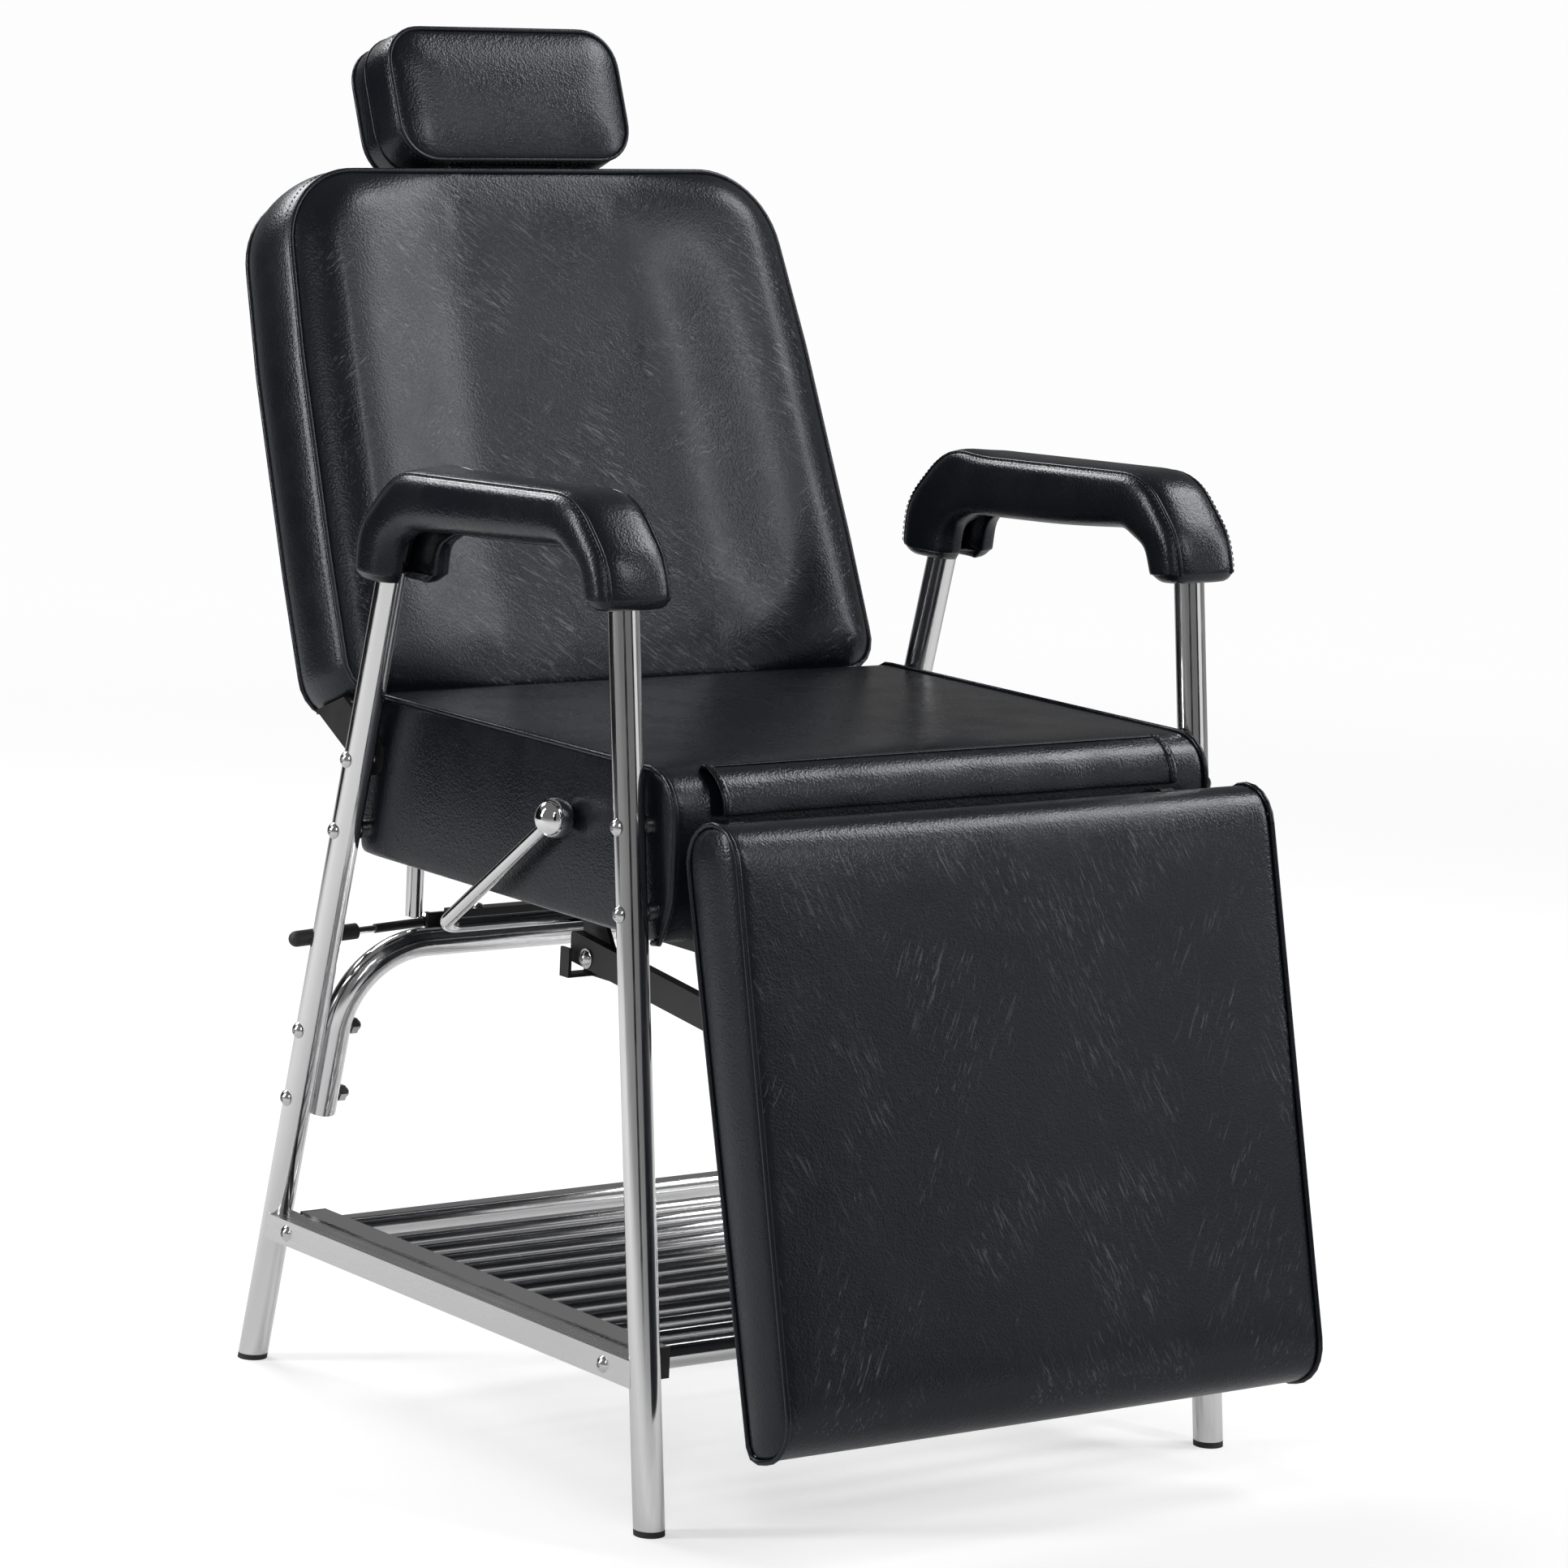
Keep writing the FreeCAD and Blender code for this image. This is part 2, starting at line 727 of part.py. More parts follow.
def link_bolts():
    y, z = link_bolt_place()
    outer_x = link_x + link_plate / 2
    washer = rod(V(-outer_x, y, z), V(-outer_x - 1.5, y, z), 8.5)
    washer = washer.cut(rod(V(-outer_x + 1, y, z), V(-outer_x - 2, y, z), bolt_r))
    bolt = button_bolt(V(-outer_x - 1.5, y, z), V(1, 0, 0), outer_x + 1.5 - crank_x + crank_plate + 8)
    spacer_x = (outer_x - link_plate, crank_x + gap)
    spacer = rod(V(-spacer_x[0], y, z), V(-spacer_x[1], y, z), 7)
    spacer = spacer.cut(rod(V(-spacer_x[0], y, z), V(-spacer_x[1], y, z), bolt_r))
    nut = hex_nut(-crank_x + crank_plate + gap, y, z, 6.5)
    return [solid for piece in (washer, bolt, spacer, nut) for solid in both_sides(piece)]


# Leg rest -------------------------------------------------------------------------------------

def legrest_back_n(u):
    """Depth of the leg rest's rear face behind its front face."""
    share = (u - legrest_low_u) / (legrest_top_u - legrest_taper_u - legrest_low_u)
    return legrest_low_thick + (legrest_top_thick - legrest_low_thick) * min(share, 1.0)


def legrest_local(corners, x):
    return tilted(prism(corners, x), legrest_face, legrest_tilt)


def legrest_board_shape():
    low, high = legrest_board_u
    corners = [
        (legrest_back_n(low), low, 0),
        (legrest_back_n(low) - legrest_board, low, 0),
        (legrest_back_n(high) - legrest_board, high, 0),
        (legrest_back_n(high), high, 0),
    ]
    board = legrest_local(corners, (-legrest_board_half, legrest_board_half))
    return cut_all(board, lug_rooms())


def lug_rooms():
    """The pockets in the back of the leg rest that the link's end and its lugs move in."""
    y, z = legrest_lug_place()
    x = (-link_x - link_room_half, -link_x + link_room_half)
    room = rod(V(x[0], y, z), V(x[1], y, z), 15)
    mouth = box(x, (y - 8, y + 60), (z - 32, z + 11))
    return both_sides(room.fuse(mouth))


def legrest_cushion():
    corners = [
        (0, legrest_low_u, legrest_front_r),
        (0, legrest_top_u, legrest_top_r),
        (legrest_top_thick, legrest_top_u, legrest_top_r),
        (legrest_top_thick, legrest_top_u - legrest_taper_u, 200),
        (legrest_low_thick, legrest_low_u, 9),
    ]
    cushion = legrest_local(corners, (-legrest_half_width, legrest_half_width))
    low, high = legrest_board_u
    board = [
        (legrest_back_n(low) + 20, low, 0),
        (legrest_back_n(low) - legrest_board, low, 0),
        (legrest_back_n(high) - legrest_board, high, 0),
        (legrest_back_n(high) + 20, high, 0),
    ]
    room = legrest_local(board, (-legrest_board_half, legrest_board_half))
    return cut_all(cushion, [room] + lug_rooms())


def legrest_hinges():
    """Ears on plates screwed to the leg rest's board, on both sides of each seat bracket."""
    y, z = legrest_pivot
    low_u, high_u = legrest_plate_u
    low_n, high_n = legrest_back_n(low_u), legrest_back_n(high_u)
    foot = [(low_n, low_u, 0), (low_n + 4, low_u, 0), (high_n + 4, high_u, 0), (high_n, high_u, 0)]
    half = legrest_bracket_plate / 2 + gap
    ears = []
    for inner, outer in ((-half - legrest_ear, -half), (half, half + legrest_ear)):
        x = (-legrest_bracket_x + inner, -legrest_bracket_x + outer)
        ear = legrest_local(foot, x)
        disc = rod(V(x[0], y, z), V(x[1], y, z), 7.5)
        arm_corners = [
            (y + 2, z + 7.0, 0),
            (y - 12, z - 4.0, 0),
            (y - 26, z - 40, 0),
            (y - 8, z - 40, 0),
            (y + 6.5, z - 2, 0),
        ]
        arm = prism(arm_corners, x).cut(legrest_solid())
        ears.append(ear.fuse([disc, arm]).cut(legrest_solid()))
    joined = [ear.cut(cross_hole(y, z, legrest_pin_r)).removeSplitter() for ear in ears]
    return joined + [mirrored(ear) for ear in joined]


def legrest_solid():
    """The leg rest and the air in front of it, to trim its hinges with."""
    corners = [
        (-50, legrest_low_u, 0),
        (-50, legrest_top_u, 0),
        (legrest_top_thick, legrest_top_u, legrest_top_r),
        (legrest_top_thick, legrest_top_u - legrest_taper_u, 200),
        (legrest_low_thick, legrest_low_u, 0),
    ]
    return legrest_local(corners, (-legrest_half_width, legrest_half_width))


def legrest_pins():
    y, z = legrest_pivot
    reach = legrest_bracket_plate / 2 + gap + legrest_ear + 1.5
    pin = rod(V(-legrest_bracket_x - reach, y, z), V(-legrest_bracket_x + reach, y, z), legrest_pin_r)
    return both_sides(pin)


def link_lugs():
    """Two ears in each pocket, joined by a foot against the pocket's floor, and the pin through them."""
    y, z = legrest_lug_place()
    front_y = y - 13.9
    pieces = []
    for inner, outer in ((-lug_half, -link_plate / 2 - 1.0), (link_plate / 2 + 1.0, lug_half)):
        x = (-link_x + inner, -link_x + outer)
        pieces.append(rod(V(x[0], y, z), V(x[1], y, z), lug_r))
        pieces.append(box(x, (front_y, y), (z - 5, z + 5)))
    x = (-link_x - lug_half, -link_x + lug_half)
    pieces.append(box(x, (front_y, front_y + 3.4), (z - 5, z + 5)))
    lug = pieces[0].fuse(pieces[1:]).cut(cross_hole(y, z, legrest_pin_r))
    return both_sides(lug.removeSplitter())


def link_pins():
    y, z = legrest_lug_place()
    return both_sides(rod(V(-link_x - lug_half, y, z), V(-link_x + lug_half, y, z), legrest_pin_r))


# Back -----------------------------------------------------------------------------------------

def back_outline():
    """Seen from the front: nearly straight sides, rounded top corners."""
    left = [V(-x, 0, u) for x, u in back_sides]
    right = [V(x, 0, u) for x, u in reversed(back_sides)]
    radii = list(back_corner_r) + list(reversed(back_corner_r))
    return closed_face(left + right, radii).extrude(V(0, back_thick, 0))


def back_local(shape):
    return tilted(shape, back_face, back_tilt)


def back_cushion():
    cushion = back_outline()
    rims = [edge for edge in cushion.Edges if edge.BoundBox.YLength < 0.1]
    cushion = cushion.makeFillet(12.0, rims)
    behind = back_thick + 30
    rooms = [box((-back_board_half, back_board_half), (back_thick - back_board, behind), back_board_u)]
    rooms += both_sides(back_cleat())
    plate_x = (-hinge_inner_x - hinge_plate - gap, -hinge_inner_x + gap)
    plate_room = box(plate_x, (hinge_n[0] - gap, hinge_n[1] + gap), (back_low_u - 1, hinge_high_u + gap))
    rooms += both_sides(plate_room)
    for x in (-post_x, post_x):
        rooms.append(rod(V(x, post_depth, socket_low_u), V(x, post_depth, back_high_u + 20), socket_r))
    return cut_all(back_local(cushion), [back_local(room) for room in rooms] + hinge_screw_rooms())


def back_cleat():
    """A block glued to the front of the board, out to the hinge plate."""
    x = (-hinge_inner_x, -back_board_half + 10)
    return box(x, (back_cleat_n, back_thick - back_board), back_cleat_u)


def back_panel():
    board_y = (back_thick - back_board, back_thick)
    board = box((-back_board_half, back_board_half), board_y, back_board_u)
    panel = back_local(board.fuse(both_sides(back_cleat())).removeSplitter())
    return cut_all(panel, hinge_screw_rooms())


def headrest_sockets():
    sockets = []
    for x in (-post_x, post_x):
        sleeve = rod(V(x, post_depth, socket_low_u), V(x, post_depth, back_high_u + 1), socket_r)
        rim = rod(V(x, post_depth, back_high_u + 0.2), V(x, post_depth, back_high_u + 2.2), socket_r + 3)
        bore = rod(V(x, post_depth, socket_low_u + 3), V(x, post_depth, back_high_u + 9), post_r + running)
        sockets.append(back_local(sleeve.fuse(rim).cut(bore).removeSplitter()))
    return sockets


def back_point(n, u):
    angle = math.radians(back_tilt)
    y = back_face[0] + n * math.cos(angle) + u * math.sin(angle)
    z = back_face[1] - n * math.sin(angle) + u * math.cos(angle)
    return (y, z)


def hinge_screw_rooms():
    outer_x = hinge_inner_x + hinge_plate
    rooms = []
    for n, u in hinge_screws:
        y, z = back_point(n, u)
        rooms += both_sides(rod(V(-outer_x - 4.5, y, z), V(-outer_x, y, z), 6.0))
        rooms += both_sides(rod(V(-outer_x, y, z), V(-back_board_half, y, z), screw_r))
    return rooms


def back_bolts():
    bolts = []
    outer_x = hinge_inner_x + hinge_plate
    for n, u in hinge_screws:
        y, z = back_point(n, u)
        bolts += both_sides(button_bolt(V(-outer_x, y, z), V(1, 0, 0), outer_x - back_board_half, screw_r))
    return bolts


def hinge_plate_shape():
    """Flat beside the seat, with a step under the back's lower edge, then flat again inside the back."""
    y, z = back_pivot
    step_u = (back_low_u - gap - hinge_plate, back_low_u - gap)
    step_n = (14.0, hinge_n[1])
    corners = [
        (y - 14, z - 14, 12),
        (y - 14, z + 12, 10),
        back_point(step_n[0], step_u[1]) + (2,),
        back_point(step_n[1], step_u[1]) + (2,),
        (y + 14, z - 14, 10),
    ]
    lower = prism(corners, (-hinge_plate_x - hinge_plate, -hinge_plate_x))
    step = back_local(box((-hinge_plate_x - hinge_plate, -hinge_inner_x), step_n, step_u))
    upper_x = (-hinge_inner_x - hinge_plate, -hinge_inner_x)
    upper = back_local(box(upper_x, hinge_n, (step_u[0], hinge_high_u)))
    plate = lower.fuse([step, upper]).removeSplitter()
    return cut_all(plate, [cross_hole(y, z, pivot_bolt_r + running)] + hinge_screw_rooms())


def gas_arm():
    """From the back's pivot to the gas spring's upper pin: level length and half of the swing."""
    level = gas_y - back_pivot[0]
    return level, recline / 2


def gas_pin_place():
    level, half = gas_arm()
    return (gas_y, back_pivot[1] + level * math.tan(math.radians(half)))


def gas_lug():
    """Cheeks under the back's lower end, with slots that point at the back's pivot."""
    level, half = gas_arm()
    y, z = gas_pin_place()
    cheeks = []
    out = V(0, math.cos(math.radians(half)), math.sin(math.radians(half)))
    pin = V(0, y, z)
    slot_inner = pin - out * (level / math.cos(math.radians(half)) - level + 0.3)
    for low_x, high_x in ((gas_x - 13, gas_x - 9), (gas_x + 9, gas_x + 13)):
        foot = back_local(box((low_x, high_x), (12, 52), (back_low_u - 12, back_low_u - 0.2)))
        disc = rod(V(low_x, y, z), V(high_x, y, z), 10)
        inner_disc = rod(V(low_x, slot_inner.y, slot_inner.z), V(high_x, slot_inner.y, slot_inner.z), 10)
        cheeks += [foot, disc, inner_disc]
    web = back_local(box((gas_x - 13, gas_x + 13), (8, 58), (back_low_u - 3.2, back_low_u - 0.2)))
    lug = web.fuse(cheeks)
    slot_r = gas_rod_r + gas_slot_play
    ends = [rod(V(gas_x - 20, p.y, p.z), V(gas_x + 20, p.y, p.z), slot_r) for p in (pin, slot_inner)]
    across = V(0, -out.z, out.y) * slot_r
    quad = [pin + across, slot_inner + across, slot_inner - across, pin - across, pin + across]
    middle = Part.Face(Part.makePolygon([V(gas_x - 20, p.y, p.z) for p in quad])).extrude(V(40, 0, 0))
    return cut_all(lug, ends + [middle]).removeSplitter()


def gas_rod():
    y, z = gas_pin_place()
    shaft_low = gas_high_z - 8 - 36
    stem = rod(V(gas_x, y, shaft_low), V(gas_x, y, z), gas_rod_r)
    piston = rod(V(gas_x, y, shaft_low), V(gas_x, y, shaft_low + 8), gas_bore_r - running)
    eye = rod(V(gas_x - 8, y, z), V(gas_x + 8, y, z), 7.5)
    pin_hole = rod(V(gas_x - 9, y, z), V(gas_x + 9, y, z), gas_rod_r)
    return stem.fuse([piston, eye]).cut(pin_hole).removeSplitter()


def gas_pin():
    y, z = gas_pin_place()
    return rod(V(gas_x - 15, y, z), V(gas_x + 15, y, z), gas_rod_r)


# Headrest -------------------------------------------------------------------------------------

def headrest_post_lines():
    """Centre lines of the posts, parallel to the back, as low and high points."""
    lines = []
    for x in (-post_x, post_x):
        low = V(x, *back_point(post_depth, socket_low_u + 10))
        high = V(x, *back_point(post_depth, back_high_u + 60))
        lines.append((low, high))
    return lines


def headrest_cushion():
    half, low, high = headrest_half_width, headrest_low_u, headrest_high_u
    points = [V(-half, 0, low), V(-half, 0, high), V(half, 0, high), V(half, 0, low)]
    pad = closed_face(points, [24, 24, 24, 24]).extrude(V(0, headrest_thick, 0))
    rims = [edge for edge in pad.Edges if edge.BoundBox.YLength < 0.1]
    pad = tilted(pad.makeFillet(12.0, rims), headrest_face, headrest_tilt)
    return cut_all(pad, [rod(low, high, post_r) for low, high in headrest_post_lines()])


def headrest_posts():
    return [rod(low, high, post_r) for low, high in headrest_post_lines()]


# Export ---------------------------------------------------------------------------------------

pieces = {
    "side_frame_left": side_frame(),
    "side_frame_right": mirrored(side_frame()),
    "foot_caps": foot_caps(),
    "stretcher_left": stretcher(),
    "stretcher_right": mirrored(stretcher()),
    "tray_rail_left": tray_rail(),
    "tray_rail_right": mirrored(tray_rail()),
    "tray_rail_caps": rail_caps(),
    "tray_bars": tray_bars(),
    "tray_end_bars": tray_end_bars(),
    "tray_bolts": rail_bolts(),
    "rear_brace": rear_brace(),
    "brace_bolts": brace_bolts(),
    "brace_nuts": brace_nuts(),
    "cross_bar": cross_bar(),
    "cross_bar_bolts": cross_bar_bolts(),
    "release_bracket": release_bracket(),
    "release_rod": release_rod(),
    "release_eye": release_eye(),
    "release_neck": release_neck(),
    "release_grip": release_grip(),
    "seat_cushion": seat_cushion(),
    "seat_board": seat_base(),
    "seat_bolts": seat_bolts(),
    "seat_spacers": seat_spacers(),
    "seat_flap": seat_flap(),
    "back_pivot_bolts": pivot_bolts(),
    "lever_hangers": lever_hangers(),
    "legrest_brackets": legrest_brackets(),
    "gas_clamp": gas_clamp(),
    "gas_cylinder": gas_cylinder(),
    "armrest_left": armrest(),
    "armrest_right": mirrored(armrest()),
    "lever_rod": lever_rod(),
    "lever_ball": lever_ball(),
    "shaft_collars": shaft_collars(),
    "crank_left": crank_plate_shape(),
    "crank_right": mirrored(crank_plate_shape()),
    "link_left": link_bar(),
    "link_right": mirrored(link_bar()),
    "link_bolts": link_bolts(),
    "legrest_cushion": legrest_cushion(),
    "legrest_board": legrest_board_shape(),
    "legrest_hinges": legrest_hinges(),
    "legrest_pins": legrest_pins(),
    "link_lugs": link_lugs(),
    "link_pins": link_pins(),
    "back_cushion": back_cushion(),
    "back_panel": back_panel(),
    "back_bolts": back_bolts(),
    "hinge_plate_left": hinge_plate_shape(),
    "hinge_plate_right": mirrored(hinge_plate_shape()),
    "headrest_sockets": headrest_sockets(),
    "gas_lug": gas_lug(),
    "gas_rod": gas_rod(),
    "gas_pin": gas_pin(),
    "headrest_cushion": headrest_cushion(),
    "headrest_posts": headrest_posts(),
}

os.makedirs("parts", exist_ok=True)
shapes = {}
for name, piece in pieces.items():
    shapes[name] = Part.makeCompound(piece) if isinstance(piece, list) else piece
bounds = [shape.optimalBoundingBox(False) for shape in shapes.values()]
middle_y = (min(bound.YMin for bound in bounds) + max(bound.YMax for bound in bounds)) / 2
for name, shape in shapes.items():
    shape.translate(V(0, -middle_y, 0))
    shape.exportStep(f"parts/{name}.step")
    print(name, len(shape.Solids), "solids", "valid" if shape.isValid() else "NOT VALID")
print("moved along y by", -middle_y)
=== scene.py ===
import json
import math

import bmesh
import bpy
import numpy as np
from mathutils import Matrix, Vector


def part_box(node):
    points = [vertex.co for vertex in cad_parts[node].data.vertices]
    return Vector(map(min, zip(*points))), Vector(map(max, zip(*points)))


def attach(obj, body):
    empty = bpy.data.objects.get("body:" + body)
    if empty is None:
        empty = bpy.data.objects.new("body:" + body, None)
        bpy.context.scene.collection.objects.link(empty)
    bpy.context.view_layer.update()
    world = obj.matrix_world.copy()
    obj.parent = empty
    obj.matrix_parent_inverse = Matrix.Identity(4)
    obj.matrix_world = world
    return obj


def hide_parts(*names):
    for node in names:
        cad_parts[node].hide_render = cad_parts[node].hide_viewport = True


# Looks of a reclining salon chair: black leather cushions with piping, mirror-chromed tube.
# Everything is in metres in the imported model's frame: +z up, -y the way the sitter faces.

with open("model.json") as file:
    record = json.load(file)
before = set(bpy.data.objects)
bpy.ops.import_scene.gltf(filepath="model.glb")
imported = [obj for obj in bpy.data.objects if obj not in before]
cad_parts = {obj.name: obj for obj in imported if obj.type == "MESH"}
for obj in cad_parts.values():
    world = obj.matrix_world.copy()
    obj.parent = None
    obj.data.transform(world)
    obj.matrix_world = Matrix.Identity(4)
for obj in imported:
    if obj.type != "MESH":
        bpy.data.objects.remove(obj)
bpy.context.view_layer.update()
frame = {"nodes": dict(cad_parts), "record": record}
nodes = frame["nodes"]
scene = bpy.context.scene

MM = 0.001
FOOT_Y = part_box("foot_caps")[0].y + 12.8 * MM     # centre of the front feet


def row(x, y, z):
    """A point given in millimetres from between the front feet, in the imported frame."""
    return Vector((x * MM, y * MM + FOOT_Y, z * MM))


# Materials --------------------------------------------------------------------------------------

class Nodes:
    """Short names for building one material's node tree."""

    def __init__(self, name):
        self.material = bpy.data.materials.new(name)
        self.material.use_nodes = True
        self.tree = self.material.node_tree
        self.shader = self.tree.nodes["Principled BSDF"]
        coordinates = self.tree.nodes.new("ShaderNodeTexCoord")
        self.place, self.normal = coordinates.outputs["Object"], coordinates.outputs["Normal"]

    def add(self, kind, **values):
        node = self.tree.nodes.new(kind)
        for key, value in values.items():
            setattr(node, key, value)
        return node

    def link(self, output, target):
        self.tree.links.new(output, target)

    def put(self, target, value):
        if isinstance(value, bpy.types.NodeSocket):
            self.link(value, target)
        else:
            target.default_value = value

    def mapped(self, scale=(1, 1, 1), turn=(0, 0, 0)):
        """The object's coordinates, turned first and then stretched."""
        turned = self.add("ShaderNodeMapping")
        turned.inputs["Rotation"].default_value = [math.radians(a) for a in turn]
        self.link(self.place, turned.inputs["Vector"])
        node = self.add("ShaderNodeMapping")
        node.inputs["Scale"].default_value = scale
        self.link(turned.outputs["Vector"], node.inputs["Vector"])
        return node.outputs["Vector"]

    def facing(self, turn):
        """1 on the broad faces that the creases lie along, 0 round the sides."""
        turned = self.add("ShaderNodeMapping", vector_type="VECTOR")
        turned.inputs["Rotation"].default_value = (math.radians(turn), 0, 0)
        self.link(self.normal, turned.inputs["Vector"])
        parts = self.add("ShaderNodeSeparateXYZ")
        self.link(turned.outputs["Vector"], parts.inputs["Vector"])
        return self.remap(self.math("ABSOLUTE", parts.outputs["Y"]), 0.72, 0.93)

    def noise(self, scale, detail=2.0, roughness=0.5, distortion=0.0, vector=None):
        node = self.add("ShaderNodeTexNoise")
        self.link(vector or self.place, node.inputs["Vector"])
        node.inputs["Scale"].default_value = scale
        node.inputs["Detail"].default_value = detail
        node.inputs["Roughness"].default_value = roughness
        node.inputs["Distortion"].default_value = distortion
        return node.outputs["Fac"]

    def cells(self, scale):
        node = self.add("ShaderNodeTexVoronoi", feature="F1")
        self.link(self.place, node.inputs["Vector"])
        node.inputs["Scale"].default_value = scale
        return node.outputs["Distance"]

    def math(self, operation, a, b=0.0):
        node = self.add("ShaderNodeMath", operation=operation)
        self.put(node.inputs[0], a)
        self.put(node.inputs[1], b)
        return node.outputs[0]

    def remap(self, value, low, high, to_low=0.0, to_high=1.0):
        node = self.add("ShaderNodeMapRange", interpolation_type="SMOOTHSTEP")
        for key, amount in zip(("From Min", "From Max", "To Min", "To Max"), (low, high, to_low, to_high)):
            node.inputs[key].default_value = amount
        self.link(value, node.inputs["Value"])
        return node.outputs["Result"]

    def mix(self, factor, a, b):
        node = self.add("ShaderNodeMix", data_type="RGBA")
        self.put(node.inputs["Factor"], factor)
        self.put(node.inputs["A"], a)
        self.put(node.inputs["B"], b)
        return node.outputs["Result"]

    def bump(self, height, strength, distance, after=None):
        node = self.add("ShaderNodeBump")
        node.inputs["Strength"].default_value = strength
        node.inputs["Distance"].default_value = distance
        self.link(height, node.inputs["Height"])
        if after:
            self.link(after, node.inputs["Normal"])
        return node.outputs["Normal"]

    def set(self, **values):
        for key, value in values.items():
            self.put(self.shader.inputs[key.replace("_", " ")], value)


def grey(value, blue=0.0):
    return (value, value, value * (1 + blue), 1.0)


def leather(name, creases=1.0, lean=58.0, turn=0.0, roughness=0.27, grain=1.0):
    """Glossy black coated leather: pebble grain, fine hairline creases in patches with a painted highlight
    along them (a pale colour standing in for their sheen), soft dents.
    The creases lie in the face that faces y once it is turned about x; lean is their slant."""
    n = Nodes(name)
    lines = []
    for scale, angle in ((400.0, lean), (470.0, lean - 8), (440.0, -lean)):
        along = n.mapped(scale=(1.0, 1.0, 0.085), turn=(turn, angle, 0))
        lines.append(n.remap(n.noise(scale, 3.0, 0.5, 1.2, along), 0.57, 0.71))
    patch = n.noise(7.0, 3.0, 0.6)
    here, there = n.remap(patch, 0.46, 0.62), n.remap(patch, 0.46, 0.34)
    one_way = n.math("MULTIPLY", n.math("MAXIMUM", lines[0], lines[1]), here)
    other_way = n.math("MULTIPLY", lines[2], there)
    creases_and_sheen = n.math("MULTIPLY", n.math("MAXIMUM", one_way, other_way), n.facing(turn))
    cloud = n.noise(5.0, 3.0, 0.5)
    base = n.mix(n.remap(cloud, 0.3, 0.7), (0.0046, 0.0052, 0.0078, 1), (0.0076, 0.0083, 0.0115, 1))
    # painted highlight: the crease lines are mixed towards pale grey in the base colour, standing in for the
    # sheen along them
    pale = n.mix(n.math("MULTIPLY", creases_and_sheen, 0.8 * creases), base, (0.18, 0.186, 0.204, 1))
    n.set(Base_Color=pale)
    rough = n.remap(n.noise(21.0, 4.0, 0.6), 0.25, 0.75, roughness - 0.04, roughness + 0.06)
    n.set(Roughness=n.math("ADD", rough, n.math("MULTIPLY", creases_and_sheen, 0.1 * creases)))
    n.set(Specular_Tint=(0.86, 0.91, 1.0, 1.0), Specular_IOR_Level=0.34)
    n.set(Coat_Weight=0.08, Coat_Roughness=0.16)
    pebbles = n.bump(n.cells(480.0), 0.3 * grain, 0.0006)
    soft = n.bump(n.noise(230.0, 3.0, 0.6), 0.34 * grain, 0.0008, pebbles)
    n.set(Normal=n.bump(n.noise(16.0, 2.0, 0.5), 0.05, 0.006, soft))
    return n.material


def chrome(name, roughness=0.09, tint=0.82, streak_axis=(1, 1, 0.02), streaks=0.05):
    """Polished plate on drawn tube: faint lengthwise drawing marks and a slight haze."""
    n = Nodes(name)
    marks = n.noise(260.0, 2.0, 0.5, 0.0, n.mapped(scale=streak_axis))
    haze = n.noise(9.0, 3.0, 0.6)
    n.set(Metallic=1.0, Base_Color=n.mix(haze, grey(tint - 0.05, 0.01), grey(tint, 0.01)))
    rough = n.remap(marks, 0.3, 0.7, roughness, roughness + streaks)
    n.set(Roughness=n.math("ADD", rough, n.remap(haze, 0.35, 0.7, 0.0, 0.03)))
    n.set(Normal=n.bump(marks, 0.05, 0.0004))
    return n.material


def painted(name, colour=0.012, roughness=0.32):
    """Semi-gloss black powder coat with a light orange-peel and dust."""
    n = Nodes(name)
    n.set(Base_Color=n.mix(n.noise(40.0, 3.0), grey(colour * 0.8), grey(colour * 1.6)))
    n.set(Roughness=n.remap(n.noise(30.0, 4.0, 0.6), 0.3, 0.7, roughness, roughness + 0.12))
    n.set(Normal=n.bump(n.noise(420.0, 2.0), 0.12, 0.0006))
    return n.material


def rubber(name, colour=0.014, roughness=0.55):
    n = Nodes(name)
    n.set(Base_Color=n.mix(n.noise(60.0, 3.0), grey(colour * 0.7), grey(colour * 1.7)))
    n.set(Roughness=n.remap(n.noise(90.0, 4.0), 0.3, 0.7, roughness, roughness + 0.15))
    n.set(Normal=n.bump(n.cells(900.0), 0.1, 0.0004))
    return n.material


def board(name):
    """Plywood painted dull black, with its long grain just showing."""
    n = Nodes(name)
    strands = n.noise(60.0, 5.0, 0.65, 0.4, n.mapped(scale=(1, 12, 12)))
    n.set(Base_Color=n.mix(strands, grey(0.016), grey(0.04)))
    n.set(Roughness=n.remap(strands, 0.3, 0.7, 0.62, 0.8))
    n.set(Normal=n.bump(strands, 0.25, 0.0006))
    return n.material


def thread(name):
    n = Nodes(name)
    n.set(Base_Color=n.mix(n.noise(900.0, 2.0), grey(0.012), grey(0.03)))
    n.set(Roughness=n.remap(n.noise(700.0, 2.0), 0.3, 0.7, 0.4, 0.6))
    return n.material


BACK_LEATHER = leather("leather_back", creases=0.75, turn=22.4, roughness=0.30)
SEAT_LEATHER = leather("leather_seat", creases=0.2, lean=20.0, turn=-90.0, roughness=0.26)
REST_LEATHER = leather("leather_legrest", creases=0.45, lean=27.0, turn=13.3, roughness=0.28)
ARM_LEATHER = leather("leather_armrest", creases=0.15, lean=10.0, turn=-90.0, roughness=0.26)
HEAD_LEATHER = leather("leather_headrest", creases=0.2, roughness=0.27)
PIPING = leather("leather_piping", creases=0.0, roughness=0.26, grain=0.5)
THREAD = thread("thread")
CHROME_TUBE = chrome("chrome_tube")
CHROME_ACROSS = chrome("chrome_bars", streak_axis=(0.02, 1, 1))
CHROME_BALL = chrome("chrome_ball", roughness=0.03, tint=0.86, streaks=0.01)
SATIN = chrome("chrome_satin", roughness=0.2, tint=0.78, streak_axis=(1, 0.02, 1), streaks=0.1)
